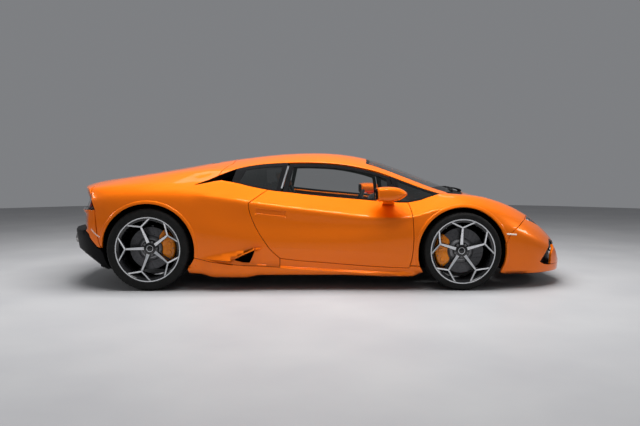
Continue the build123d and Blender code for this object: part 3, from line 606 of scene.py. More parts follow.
class Ball:
    """Rays out from a point; azimuth and elevation, the seam behind."""

    def __init__(self, c, sign=1, r=0.7):
        self.c, self.s, self.r = Vector(c), sign, r

    def ray(self, u, v):
        a, e = u / self.r, v / self.r
        return self.c.copy(), Vector((self.s * math.cos(a) * math.cos(e), math.sin(a) * math.cos(e), math.sin(e)))

    def uv(self, p):
        d = Vector(p) - self.c
        return math.atan2(d.y, self.s * d.x) * self.r, math.atan2(d.z, math.hypot(d.x, d.y)) * self.r


SIDE, RSIDE, TOP = Side(), Side(-1), Top()


def s(x, z):
    """Point of the left side by its side-view place, mm."""
    return HULL.ray(*SIDE.ray(x / 1000, z / 1000))[0]


def p(x, y):
    """Point of the upper side by its plan place, mm."""
    return HULL.ray(*TOP.ray(x / 1000, y / 1000))[0]


def f(y, z, sign=1):
    """Point of the nose (sign 1) or tail (-1) by its place in the end view, mm."""
    return HULL.ray(Vector((3.0 * sign, y / 1000, z / 1000)), Vector((-sign, 0, 0)))[0]


def dense(points, step, closed=True):
    """Points along a closed outline at about this spacing, its corners kept."""
    out = []
    n = len(points)
    for i in range(n if closed else n - 1):
        a, b = Vector(points[i]), Vector(points[(i + 1) % n])
        k = max(1, round((b - a).length / step))
        for t in range(k):
            out.append(a.lerp(b, t / k))
    if not closed:
        out.append(Vector(points[-1]))
    return out


def spline(points, closed=False, n=8):
    """Centripetal-like smooth curve through 2-D points."""
    P = [np.array(q, float) for q in points]
    out, m = [], len(P)
    for i in range(m if closed else m - 1):
        p0 = P[i - 1] if (closed or i > 0) else 2 * P[0] - P[1]
        p1, p2 = P[i], P[(i + 1) % m]
        p3 = P[(i + 2) % m] if (closed or i + 2 < m) else 2 * P[-1] - P[-2]
        for t in np.arange(n) / n:
            out.append(tuple(0.5 * ((2 * p1) + (p2 - p0) * t + (2 * p0 - 5 * p1 + 4 * p2 - p3) * t * t + (3 * p1 - p0 - 3 * p2 + p3) * t ** 3)))
    if not closed:
        out.append(tuple(P[-1]))
    return out


def arc_pts(kind, a0, a1, n=40, extra=0.0):
    """Side-view places (mm) along a wheel opening, angles in degrees from +x towards +z."""
    x, z, r = ARCH[kind]
    r += extra
    return [((x + r * math.cos(math.radians(a0 + (a1 - a0) * i / n))) * 1000, (z + r * math.sin(math.radians(a0 + (a1 - a0) * i / n))) * 1000) for i in range(n + 1)]


def inside(pts, poly):
    """Which of pts (N, 2) lie in poly (M, 2)."""
    x, y = pts[:, 0], pts[:, 1]
    res = np.zeros(len(pts), bool)
    j = len(poly) - 1
    for i in range(len(poly)):
        xi, yi, xj, yj = poly[i][0], poly[i][1], poly[j][0], poly[j][1]
        c = (yi > y) != (yj > y)
        if c.any():
            t = (xj - xi) * (y - yi) / ((yj - yi) or 1e-12) + xi
            res ^= c & (x < t)
        j = i
    return res


def far_from(pts, poly, d):
    ok = np.ones(len(pts), bool)
    n = len(poly)
    for i in range(n):
        a, b = poly[i], poly[(i + 1) % n]
        ab = b - a
        L2 = max(ab @ ab, 1e-12)
        t = np.clip(((pts - a) @ ab) / L2, 0, 1)
        q = a + t[:, None] * ab
        ok &= ((pts - q) ** 2).sum(1) > d * d
    return ok


def make(name, verts, faces, mats, mi=None, normals=None, body="body", slot=None, replaces=(), smooth=True):
    me = bpy.data.meshes.new(name)
    me.from_pydata([tuple(v) for v in verts], [], faces)
    if not isinstance(mats, (list, tuple)):
        mats = [mats]
    for m in mats:
        me.materials.append(m)
    if mi is not None:
        me.polygons.foreach_set("material_index", list(mi))
    me.update()
    if smooth:
        me.polygons.foreach_set("use_smooth", [True] * len(me.polygons))
    if normals is not None:
        me.normals_split_custom_set_from_vertices([tuple(n) for n in normals])
    ob = bpy.data.objects.new(name, me)
    bpy.context.scene.collection.objects.link(ob)
    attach(ob, body)
    if slot:
        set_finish(ob, slot)
    if replaces:
        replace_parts(ob, *replaces)
    return ob


def mirror_of(ob, name, body=None, replaces=()):
    """The same piece on the car's other side."""
    me = ob.data
    co = np.empty(len(me.vertices) * 3)
    me.vertices.foreach_get("co", co)
    co = co.reshape(-1, 3)
    mw = np.array(ob.matrix_world)
    co = co @ mw[:3, :3].T + mw[:3, 3]
    co[:, 1] *= -1
    faces = [tuple(reversed(q.vertices)) for q in me.polygons]
    mi = [q.material_index for q in me.polygons]
    nm = None
    if "vn" in ob:
        nm = np.array(ob["vn"]).reshape(-1, 3)
        nm = nm * np.array([1, -1, 1])
    new = make(name, co, faces, list(me.materials), mi, nm, body or ob["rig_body"], ob.get("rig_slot"), replaces, smooth=me.polygons[0].use_smooth)
    return new


def keep_normals(ob, normals):
    ob["vn"] = [float(c) for n in normals for c in n]


def panel(name, outline, proj, mat, body="body", slot="paint", replaces=(), step=0.018, edge=0.009, thick=0.014,
          r=0.0022, gap=GAP, disp=None, holes=(), offset=0.0, back=False, surf=None, lines=(), wall=True):
    """A skin cut from the surface along an outline of points on it: rolled edge, side walls, true surface normals."""
    surf = surf or HULL

    def at(u, v):
        o, d = proj.ray(u, v)
        P, n = surf.ray(o, d)
        if n.dot(d) < 0 and isinstance(proj, (Polar, Ball)):
            n = -n if n.dot(P - o) < 0 else n
        if offset:
            P = P + n * offset
        if disp is not None:
            t1 = Vector((1, 0, 0)).cross(n)
            if t1.length < 0.2:
                t1 = Vector((0, 1, 0)).cross(n)
            t1.normalize()
            t2 = n.cross(t1)
            e = 0.0015
            d0 = disp(P)
            g1, g2 = (disp(P + t1 * e) - d0) / e, (disp(P + t2 * e) - d0) / e
            P = P + n * d0
            n = (n - t1 * g1 - t2 * g2).normalized()
        return P, n

    loops = []
    for poly3 in [outline] + list(holes):
        pts = dense(poly3, edge)
        uvs = [proj.uv(q) for q in pts]
        area = sum(uvs[i - 1][0] * uvs[i][1] - uvs[i][0] * uvs[i - 1][1] for i in range(len(uvs)))
        if (area < 0) != (len(loops) > 0):                 # outer anticlockwise, holes clockwise
            uvs.reverse()
        surfpts = [at(*q) for q in uvs]
        loops.append(surfpts)
    verts, normals, faces = [], [], []
    rings = []
    cdt_pts, cdt_edges, cdt_pos = [], [], []
    for pts in loops:
        n = len(pts)
        R = []
        for i in range(n):
            P, N = pts[i]
            a, b = pts[i - 1][0], pts[(i + 1) % n][0]
            t = (b - a)
            t1 = (P - a).normalized() if (P - a).length > 1e-9 else t.normalized()
            t2 = (b - P).normalized() if (b - P).length > 1e-9 else t.normalized()
            t.normalize()
            o = t.cross(N)
            if o.length < 1e-6:
                o = Vector((0, 0, 1))
            o.normalize()
            # which way is outward: the projector's own handedness
            R.append([P, N, o, min(1.6, 1 / max(0.5, math.sqrt(max(0.0, (1 + t1.dot(t2)) / 2))))])
        rings.append(R)
    # sign of outward: test with uv area of a small step on the first loop
    P, N, o, _ = rings[0][0]
    votes = 0
    for k in range(0, len(rings[0]), max(1, len(rings[0]) // 24)):
        P, N, o, _ = rings[0][k]
        q0, q1 = proj.uv(P), proj.uv(P + o * 0.002)
        qn = proj.uv(rings[0][(k + 1) % len(rings[0])][0])
        ex, ey = qn[0] - q0[0], qn[1] - q0[1]
        cx, cy = q1[0] - q0[0], q1[1] - q0[1]
        votes += 1 if ex * cy - ey * cx < 0 else -1       # outward is to the right of travel
    sgn = 1 if votes > 0 else -1
    all_rings = []
    for R in rings:
        base = len(cdt_pts)
        n = len(R)
        ring_ids = []
        for i, (P, N, o, k) in enumerate(R):
            o = o * sgn
            q = P - o * ((gap + r) * k)
            cdt_pts.append(Vector(proj.uv(q)))
            cdt_pos.append((q, N, o, k))
            cdt_edges.append((base + i, base + (i + 1) % n))
        all_rings.append((base, n))
    outer = np.array([tuple(cdt_pts[i]) for i in range(all_rings[0][0], all_rings[0][0] + all_rings[0][1])])
    lo, hi = outer.min(0), outer.max(0)
    gx = np.arange(lo[0] + step * 0.5, hi[0], step)
    gy = np.arange(lo[1] + step * 0.5, hi[1], step)
    G = np.array([(x + (0.5 * step if j % 2 else 0.0), y) for j, y in enumerate(gy) for x in gx]) if len(gx) and len(gy) else np.zeros((0, 2))
    if len(G):
        G = G[inside(G, outer)]
        G = G[far_from(G, outer, step * 0.6)] if len(G) else G
        for base, n in all_rings[1:]:
            h = np.array([tuple(cdt_pts[i]) for i in range(base, base + n)])
            if len(G):
                G = G[~inside(G, h)]
            if len(G):
                G = G[far_from(G, h, step * 0.6)]
    extra = []
    rim_uv = [np.array([tuple(cdt_pts[i]) for i in range(base, base + n)]) for base, n in all_rings]
    for line in lines:
        L = np.array([proj.uv(q) for q in dense(line, edge, False)])
        ok = inside(L, rim_uv[0])
        for h in rim_uv[1:]:
            ok &= ~inside(L, h)
        for h in rim_uv:
            ok &= far_from(L, h, 0.0025)
        for k, good in zip(L, ok):
            extra.append(tuple(k) if good else None)
        extra.append(None)
    free = np.array([q for q in extra if q is not None]) if any(q is not None for q in extra) else None
    if free is not None and len(G):
        for k in range(0, len(G), 400):
            d2 = ((G[k:k + 400, None, :] - free[None, :, :]) ** 2).sum(2).min(1)
            G[k:k + 400][d2 < (step * 0.45) ** 2] = np.nan
        G = G[~np.isnan(G[:, 0])]
    nb = len(cdt_pts)
    line_pts, last = [], None
    for q in extra:
        if q is None:
            last = None
            continue
        line_pts.append(Vector(q))
        if last is not None:
            cdt_edges.append((last, nb + len(line_pts) - 1))
        last = nb + len(line_pts) - 1
    allp = cdt_pts + line_pts + [Vector((a, b)) for a, b in G]
    vv, ee, ff, ov, _, _ = delaunay_2d_cdt(allp, cdt_edges, [], 0, 1e-7, True)
    holes2 = [np.array([tuple(cdt_pts[i]) for i in range(base, base + n)]) for base, n in all_rings[1:]]
    where = {}
    for i, src in enumerate(ov):
        for q in src:
            if q < nb:
                where[q] = i
    owner = {}
    for q, i in where.items():
        owner.setdefault(i, q)
    for i, c in enumerate(vv):
        if i in owner:
            q, N, o, k = cdt_pos[owner[i]]
            verts.append(q)
            normals.append(N)
        else:
            P, N = at(c[0], c[1])
            verts.append(P)
            normals.append(N)
    cen = np.array([((vv[t[0]] + vv[t[1]] + vv[t[2]]) / 3)[:] for t in ff]) if ff else np.zeros((0, 2))
    keep = inside(cen, outer) if len(cen) else np.ones(0, bool)
    for h in holes2:
        if len(cen):
            keep &= ~inside(cen, h)
    tri = [tuple(t) for t, k in zip(ff, keep) if k]
    # face winding follows the outward normal
    if tri:
        t = tri[len(tri) // 2]
        fn = (verts[t[1]] - verts[t[0]]).cross(verts[t[2]] - verts[t[0]])
        if fn.dot(normals[t[0]]) < 0:
            tri = [t[::-1] for t in tri]
    faces += tri
    top_count = len(verts)
    profile = [(0.293, 0.293, 0.7), (0.0, 1.0, 1.0), (0.0, None, 1.0)]
    for (base, n) in (all_rings if wall else ()):
        layers = [[where[base + i] for i in range(n)]]
        for inset, depth, mixn in profile:
            ids = []
            for i in range(n):
                P, N, o, k = rings[all_rings.index((base, n))][i]
                o = o * sgn
                dd = thick if depth is None else r * depth
                q = P - o * ((gap + r * inset) * k) - N * dd
                verts.append(q)
                normals.append((N * (1 - mixn) + o * mixn).normalized())
                ids.append(len(verts) - 1)
            layers.append(ids)
        for A, B in zip(layers, layers[1:]):
            for i in range(n):
                j = (i + 1) % n
                q = (A[i], A[j], B[j], B[i])
                if len(set(q)) < 4:
                    q = tuple(dict.fromkeys(q))
                    if len(q) < 3:
                        continue
                fn = (verts[q[1]] - verts[q[0]]).cross(verts[q[-1]] - verts[q[0]])
                ref = normals[B[i]] + normals[B[j]]
                faces.append(q if fn.dot(ref) > 0 else q[::-1])
    if back:
        shift = len(verts)
        for i in range(top_count):
            verts.append(verts[i] - normals[i] * thick)
            normals.append(-normals[i])
        faces += [tuple(shift + v for v in t[::-1]) for t in tri]
    ob = make(name, verts, faces, mat, None, normals, body, slot, replaces)
    keep_normals(ob, normals)
    return ob

# =====================================================================================
# outlines, side view (x, z) or plan (x, y), mm
# =====================================================================================
BELT = [(-799, 920), (-650, 892), (-559, 869), (-389, 836), (-220, 816), (-50, 797), (120, 780), (289, 765), (459, 750), (620, 736), (713, 731), (781, 731), (883, 750), (1063, 803)]
RAIL = [(1063, 803), (901, 854), (733, 918), (562, 983), (388, 1027), (213, 1056), (30, 1069), (-140, 1072), (-317, 1066), (-494, 1053), (-667, 1021), (-835, 957), (-915, 919), (-1019, 881)]
DOOR_FRONT = spline([(772, 731), (790, 706), (804, 632), (812, 508), (812, 383), (799, 262), (776, 188)], n=6)
DOOR_BOTTOM = spline([(776, 188), (534, 197), (284, 213), (34, 234), (-132, 247), (-300, 268)], n=6)
DOOR_REAR = spline([(-300, 268), (-373, 338), (-429, 416), (-478, 492), (-520, 575), (-552, 665), (-558, 731)], n=6)
RAIL_S = spline(RAIL, n=6)
BELT_S = spline(BELT[:-3], n=6) + BELT[-3:]


def cut(points, x0, x1):
    """The stretch of an (x, z) line between two x values, either way round."""
    def zat(x):
        for a, b in zip(points, points[1:]):
            if min(a[0], b[0]) - 1e-6 <= x <= max(a[0], b[0]) + 1e-6 and abs(a[0] - b[0]) > 1e-9:
                t = (x - a[0]) / (b[0] - a[0])
                return a[1] + (b[1] - a[1]) * t
        return points[-1][1]
    lo, hi = min(x0, x1), max(x0, x1)
    mid = [q for q in points if lo + 1 < q[0] < hi - 1]
    ends = [(x0, zat(x0)), (x1, zat(x1))]
    rising = points[-1][0] > points[0][0]
    if (x1 > x0) != rising:
        mid = mid[::-1]
    return [ends[0]] + mid + [ends[1]]


def S(points):
    return [s(*q) for q in points]


def P(points):
    return [p(*q) for q in points]


def both(half):
    return half + [(x, -y) for x, y in reversed(half) if abs(y) > 1e-6]


HOOD_EDGE = [q for q in spline([(1262, 650), (1420, 632), (1640, 568), (1850, 470), (2000, 385), (2060, 290), (2092, 160), (2104, 0), (2092, -160)], n=6) if q[1] >= -0.5]
HOOD = spline([(1365, 0), (1345, 330), (1300, 545)], n=6) + HOOD_EDGE
LID = spline([(-1905, 0), (-1895, 380), (-1852, 520)], n=6) + spline([(-1720, 568), (-1395, 560), (-1010, 535), (-775, 500)], n=5) + spline([(-745, 440), (-738, 220), (-735, 0)], n=5)
SCREEN = spline([(478, 0), (470, 290), (452, 452)], n=6) + spline([(472, 472), (640, 510), (860, 562), (1063, 622), (1135, 652)], n=5) + spline([(1152, 642), (1205, 560), (1262, 330), (1285, 0)], n=6)
COWL_FRONT = spline([(1365, 0), (1345, 330), (1300, 545), (1262, 650)], n=6)
LAMP = spline([(1806, 690), (1842, 600), (1925, 498), (2030, 395)], n=6) + [(2096, 372), (2104, 415)] + spline([(2085, 470), (1992, 562), (1902, 640), (1820, 704)], n=6)

POLAR = Polar(0.25, 0.50)
NOSE = Ball((1.45, 0.0, 0.30), 1)
TAIL = Ball((-1.45, 0.0, 0.42), -1)

# ------------------------------------------------------------------ relief of the side panels


def sstep(a, b, x):
    t = max(0.0, min(1.0, (x - a) / (b - a)))
    return t * t * (3 - 2 * t)


def lip(P, kind, h=0.007, w=0.030):
    """Rolled flare round a wheel opening."""
    x, z, r = ARCH[kind]
    d = math.hypot(P.x - x, P.z - z) - r
    if d > w * 1.5 or P.z < 0.2:
        return 0.0
    return h * (1 - sstep(w * 0.75, w * 1.05, d)) * (0.75 + 0.25 * sstep(0, w, d))


def line_at(pts, x):
    if x <= pts[0][0]:
        return pts[0][1]
    for a, b in zip(pts, pts[1:]):
        if x <= b[0]:
            return a[1] + (b[1] - a[1]) * (x - a[0]) / (b[0] - a[0])
    return pts[-1][1]


def handle(P):
    """Shallow recess of the door handle."""
    u = (P.x + 0.375) / 0.125
    v = (P.z - (0.655 - (P.x + 0.375) * 0.10)) / 0.021
    if abs(u) > 1.25 or abs(v) > 1.6:
        return 0.0
    edge = max(abs(u) ** 6, abs(v) ** 6)
    return -0.009 * (1 - sstep(0.55, 1.3, edge))


BLADE_TOP = [(-0.985, 0.276), (-0.794, 0.317), (-0.628, 0.346), (-0.446, 0.367), (-0.40, 0.368)]
BLADE_LOW = [(-0.985, 0.273), (-0.711, 0.259), (-0.504, 0.352), (-0.446, 0.3665), (-0.40, 0.368)]
SILL_TOP = [(-0.97, 0.272), (-0.711, 0.236), (-0.546, 0.226), (-0.132, 0.193), (0.282, 0.170), (0.696, 0.153), (0.90, 0.146)]
UNDER_TOP = [(-0.60, 0.366), (-0.446, 0.366), (-0.10, 0.352), (0.30, 0.335), (0.62, 0.315), (0.90, 0.30)]


def blade(P):
    """Facet that faces up and out, above the scoop ahead of the rear wheel."""
    if not (-0.985 < P.x < -0.40):
        return 0.0
    top, low = line_at(BLADE_TOP, P.x), line_at(BLADE_LOW, P.x)
    if P.z > top:
        return 0.0
    full = 0.050 * sstep(-0.985, -0.70, P.x) * (1 - sstep(-0.50, -0.43, P.x))
    if P.z > low:
        return full * (top - P.z) / max(0.004, top - low)
    return full * (1 - sstep(0.0, 0.02, low - P.z))


def under(P):
    """Door bottom tucked in below a soft line, fading towards the front wheel."""
    top = line_at(UNDER_TOP, P.x)
    if P.z > top or P.x < -0.60 or P.x > 0.9:
        return 0.0
    fade = sstep(-0.60, -0.46, P.x) * (1 - sstep(0.15, 0.85, P.x))
    return -0.020 * fade * min(1.0, (top - P.z) / 0.12)


def sill(P):
    """Blade along the sill: a narrow ledge, then a face that stands out."""
    if not (-0.97 < P.x < 0.90):
        return 0.0
    top = line_at(SILL_TOP, P.x)
    if P.z > top + 0.002:
        return 0.0
    return 0.026 * min(1.0, (top + 0.002 - P.z) / 0.011) * sstep(-0.97, -0.85, P.x) * (1 - sstep(0.80, 0.90, P.x))


def relief(P):
    kind = "front" if P.x > 0 else "rear"
    return lip(P, kind) + blade(P) + under(P) + sill(P) + handle(P)


def arcs(kind, a0, a1):
    return [S(arc_pts(kind, a0, a1, 60, w)) for w in (0.010, 0.0225, 0.027, 0.0315, 0.040)]


def feature(points, dz=0.0):
    return S([(x * 1000, z * 1000 + dz) for x, z in points])


SIDE_LINES = [feature(BLADE_TOP[:-1]), feature(BLADE_LOW[:-1]), feature(BLADE_TOP[:-1], 7), feature(BLADE_LOW[:-1], -20), feature(BLADE_LOW[:-1], -10),
              feature(SILL_TOP, 2), feature(SILL_TOP, -3), feature(SILL_TOP, -9), feature(SILL_TOP, -16), feature(UNDER_TOP), feature(UNDER_TOP, -8)]
HANDLE_LINES = []
for grow_u, grow_v in ((0.86, 0.80), (0.95, 0.92), (1.03, 1.05), (1.10, 1.18)):
    loop = []
    for k in range(49):
        th = 2 * math.pi * k / 48
        cu, cv = math.cos(th), math.sin(th)
        q = 0.30
        loop.append((-375 + 125 * grow_u * math.copysign(abs(cu) ** q, cu), 655 - 12.5 * grow_u * math.copysign(abs(cu) ** q, cu) + 21 * grow_v * math.copysign(abs(cv) ** q, cv)))
    HANDLE_LINES.append(loop)


# ------------------------------------------------------------------ doors
def door_outline():
    rear_top = cut(BELT_S, -406, 772)
    pts = rear_top + DOOR_FRONT[1:] + DOOR_BOTTOM[1:] + DOOR_REAR[1:]
    return S(pts)


DOOR = door_outline()
door_l = panel("door_skin_left", DOOR, SIDE, M["paint"], body="door_left", replaces=("door_left",), disp=relief, step=0.022, edge=0.008, thick=0.03, back=True,
               lines=SIDE_LINES + [S(q) for q in HANDLE_LINES])
door_r = mirror_of(door_l, "door_skin_right", "door_right", ("door_right",))

# ------------------------------------------------------------------ front fender
a = arc_pts("front", 10, 176, 44)
fender_outline = (S(cut(BELT_S, 772, 1063)) + P([(1100, 712), (1146, 690), (1262, 652)])
                  + P(spline([(1262, 650), (1420, 632), (1640, 568), (1850, 470)], n=5)[1:])
                  + P(spline([(1850, 470), (1865, 560), (1822, 680), (1795, 740)], n=4)[1:]) + S([(1760, 560), (1640, 478)])
                  + S(a) + S([(855, 262), (868, 205)]) + S([(790, 208)]) + S(DOOR_FRONT[::-1]))
fender_l = panel("fender_left", fender_outline, POLAR, M["paint"], replaces=("front_fenders",), disp=relief, step=0.022, edge=0.008, lines=arcs("front", -20, 200))
fender_r = mirror_of(fender_l, "fender_right")

# ------------------------------------------------------------------ hood
hood = panel("hood_skin", P(both(HOOD)), TOP, M["paint"], body="hood", replaces=("hood",), step=0.024, edge=0.010, back=True, thick=0.012)

# ------------------------------------------------------------------ rear quarter
SCOOP_HOLE = [(-690, 262), (-600, 305), (-508, 346), (-521, 308), (-536, 272), (-552, 238), (-605, 240)]
a = arc_pts("rear", 178, -8, 48)
quarter_outline = (S(DOOR_REAR) + S(cut(BELT_S, -406, -799)) + S([(-799, 920), (-860, 912), (-915, 900), (-1019, 881)])
                   + S([(-975, 897), (-915, 919), (-875, 938), (-835, 957)]) + P([(-800, 600), (-775, 500)])
                   + P(spline([(-775, 500), (-1010, 535), (-1395, 560), (-1720, 568), (-1852, 520)], n=5)[1:])
                   + P([(-1875, 640), (-1885, 740)]) + S([(-1893, 800), (-1893, 757), (-1838, 674), (-1812, 400), (-1782, 352)])
                   + S(a[1:]) + S([(-1009, 277), (-960, 262), (-711, 226), (-604, 217), (-480, 208), (-300, 196)]))
quarter_l = panel("rear_quarter_left", quarter_outline, POLAR, M["paint"], replaces=("rear_quarters",), disp=relief, step=0.022, edge=0.008,
                  lines=SIDE_LINES + arcs("rear", -20, 200), holes=[S(SCOOP_HOLE)])
quarter_r = mirror_of(quarter_l, "rear_quarter_right")

# ------------------------------------------------------------------ skirt
skirt_outline = (S([(-1009, 277), (-960, 262), (-711, 226), (-604, 217), (-480, 208), (-300, 196)]) + S([(-300, 268)]) + S(DOOR_BOTTOM[::-1][1:])
                 + S([(790, 206), (868, 203)]) + S([(884, 175), (896, 150)]) + [HULL.ray(*Under().ray(0.90, 0.80))[0], HULL.ray(*Under().ray(-1.05, 0.80))[0]] + S([(-1070, 180), (-1030, 240)]))
skirt_l = panel("side_skirt_left", skirt_outline, Polar(0.45, 0.42), M["paint"], replaces=("side_skirts",), disp=relief, step=0.018, edge=0.008, lines=SIDE_LINES)
skirt_r = mirror_of(skirt_l, "side_skirt_right")

# ------------------------------------------------------------------ roof with its pillars
roof_half = (P(spline([(-735, 0), (-738, 220), (-745, 440), (-775, 500)], n=5)) + P([(-800, 600)]) + S(cut(RAIL_S, -835, 1063)) + P([(1100, 712), (1146, 690), (1135, 652)])
             + P(spline([(1135, 652), (1063, 622), (860, 562), (640, 510), (472, 472)], n=5)[1:]) + P(spline([(452, 452), (470, 290), (478, 0)], n=6)))
roof_outline = roof_half + [Vector((q.x, -q.y, q.z)) for q in reversed(roof_half[1:-1])]
roof = panel("roof_skin", roof_outline, Polar(0.0, 0.55), M["paint"], replaces=("roof_frame",), step=0.026, edge=0.010)

screen = panel("windscreen_pane", P(both(SCREEN)), TOP, M["screen"], slot="glass", replaces=("windscreen",), step=0.022, edge=0.014, thick=0.005, r=0.001, wall=False)
cowl = panel("cowl_panel", P(both([(1285, 0)] + [(1262, 330), (1205, 560), (1152, 644), (1200, 668), (1262, 651), (1300, 545), (1345, 330), (1365, 0)])), TOP, M["satin"], slot="black_plastic", replaces=("cowl",), step=0.02, edge=0.012)

# ------------------------------------------------------------------ engine lid
SLOTS = []
for k in range(4):
    xc = -930 - 210 * k
    hw = 300 - 14 * k
    SLOTS.append(spline([(xc + 40, -hw), (xc + 46, 0), (xc + 40, hw)], n=6) + spline([(xc - 34, hw - 26), (xc - 44, 0), (xc - 34, -hw + 26)], n=6))
lid = panel("engine_lid", P(both(LID)), TOP, M["paint"], body="engine_cover", replaces=("engine_cover",), step=0.026, edge=0.010, back=True, thick=0.012, holes=[P(q) for q in SLOTS])

# ------------------------------------------------------------------ side glass
B_LOW, B_TOP = (-290, 829), (-238, 1069)
F_LOW, F_TOP = (690, 732), (640, 955)
door_glass_outline = S([(B_LOW[0] + 8, 826)] + cut(BELT_S, B_LOW[0] + 9, F_LOW[0])[1:] + [(F_TOP[0], 948)] + [(x, z - 10) for x, z in cut(RAIL_S, F_TOP[0] - 4, B_TOP[0] + 8)])
dg_l = panel("door_window_left", door_glass_outline, SIDE, M["glass"], body="door_left", slot="glass", replaces=("door_glass_left",), step=0.016, edge=0.012, thick=0.004, r=0.001, offset=-0.004, wall=False)
dg_r = mirror_of(dg_l, "door_window_right", "door_right", ("door_glass_right",))
q_outline = S(cut(BELT_S, -716, B_LOW[0]) + [B_TOP] + cut(RAIL_S, B_TOP[0], -690))
qg_l = panel("quarter_window_left", q_outline, SIDE, M["glass_dark"], slot="glass", replaces=("quarter_glass",), step=0.018, edge=0.012, thick=0.004, r=0.001, offset=-0.004, wall=False)
qg_r = mirror_of(qg_l, "quarter_window_right")
fq_outline = S(cut(BELT_S, F_LOW[0], 1063) + cut(RAIL_S, 1063, F_TOP[0]))
fq_l = panel("front_side_window_left", fq_outline, SIDE, M["glass_dark"], slot="glass", step=0.014, edge=0.010, thick=0.004, r=0.001, offset=-0.004, wall=False)
fq_r = mirror_of(fq_l, "front_side_window_right")

# =====================================================================================
# small builders
# =====================================================================================
def strip_between(name, A, B, mats, body="body", slot=None, closed=True, replaces=(), flip=False):
    """Band of faces between two rows of points."""
    n = len(A)
    faces = []
    for i in range(n if closed else n - 1):
        j = (i + 1) % n
        q = (i, j, n + j, n + i)
        faces.append(q[::-1] if flip else q)
    return make(name, list(A) + list(B), faces, mats, None, None, body, slot, replaces)


def ribbon(name, pts, width, height, mat, body="body", slot=None, lift=0.0, surf=None, bevel=0.25, normals=None, taper=False):
    """Raised strip along points on a surface: a flat-topped bar with eased edges."""
    surf = surf or HULL
    pts = [Vector(q) for q in pts]
    n = len(pts)
    verts, faces = [], []
    prof = [(-0.5, 0.0), (-0.5, 1 - bevel), (-0.5 + bevel * height / width if width > 0 else -0.5, 1.0), (0.5 - bevel * height / width, 1.0), (0.5, 1 - bevel), (0.5, 0.0)]
    for i, q in enumerate(pts):
        tdir = (pts[min(i + 1, n - 1)] - pts[max(i - 1, 0)]).normalized()
        N = Vector(normals[i]) if normals else surf.near(q)[1]
        c = tdir.cross(N).normalized()
        k = 1.0
        if taper:
            k = max(0.12, math.sin(math.pi * (i + 0.35) / (n - 0.3)) ** 0.5)
        for u, v in prof:
            verts.append(q + c * (u * width * k) + N * (v * height + lift))
    m = len(prof)
    for i in range(n - 1):
        for k in range(m - 1):
            faces.append((i * m + k, i * m + k + 1, (i + 1) * m + k + 1, (i + 1) * m + k))
        faces.append((i * m + m - 1, i * m, (i + 1) * m, (i + 1) * m + m - 1))
    faces.append(tuple(range(m)))
    faces.append(tuple(range((n - 1) * m, n * m))[::-1])
    ob = make(name, verts, faces, mat, None, None, body, slot)
    fix_normals(ob)
    sharp(ob, 35)
    return ob


def fix_normals(ob):
    bm = bmesh.new()
    bm.from_mesh(ob.data)
    bmesh.ops.recalc_face_normals(bm, faces=bm.faces)
    bm.to_mesh(ob.data)
    bm.free()


def sharp(ob, angle=35):
    """Smooth shading with sharp edges over this angle."""
    ob.data.set_sharp_from_angle(angle=math.radians(angle))


def smooth_loop(points, n=6):
    """Closed 3-D loop smoothed through its points."""
    P_ = [Vector(q) for q in points]
    m, out = len(P_), []
    for i in range(m):
        p0, p1, p2, p3 = P_[i - 1], P_[i], P_[(i + 1) % m], P_[(i + 2) % m]
        for k in range(n):
            u = k / n
            out.append(0.5 * ((2 * p1) + (p2 - p0) * u + (2 * p0 - 5 * p1 + 4 * p2 - p3) * u * u + (3 * p1 - p0 - 3 * p2 + p3) * u ** 3))
    return out


def inner_of(points, d, surf=None, down=0.0):
    """Closed outline on the surface moved inwards by d along it, then down into it."""
    surf = surf or HULL
    P_ = [Vector(q) for q in points]
    n = len(P_)
    cen = sum(P_, Vector()) / n
    N0 = surf.near(cen)[1]
    area = sum(P_[i - 1].cross(P_[i]).dot(N0) for i in range(n))
    sg = 1 if area > 0 else -1
    out = []
    for i in range(n):
        a_, b_ = P_[i - 1], P_[(i + 1) % n]
        N = surf.near(P_[i])[1]
        o = N.cross(b_ - a_)
        if o.length < 1e-9:
            o = Vector((0, 0, 1e-9))
        o.normalize()
        out.append(P_[i] + o * d * sg - N * down)
    return out


def well(name, outline, proj, depth, floor_mat, wall_mat, body="body", slot="black_plastic", step=0.02, shrink=0.0, replaces=()):
    """Recess: a side wall going in from the outline and a floor at the bottom."""
    pts = dense(outline, 0.012)
    fl = panel(name + "_floor", outline, proj, floor_mat, body=body, slot=slot, replaces=replaces, step=step, edge=0.012, offset=-depth, wall=False, gap=0.0, r=0.0)
    top, low = [], []
    for q in pts:
        o, d = proj.ray(*proj.uv(q))
        P_, N = HULL.ray(o, d)
        if isinstance(proj, (Polar, Ball)) and N.dot(P_ - o) < 0:
            N = -N
        top.append(P_ - N * 0.002)
        low.append(P_ - N * (depth + 0.001))
    w = strip_between(name + "_wall", top, low, wall_mat, body, slot)
    fix_normals(w)
    return fl, w


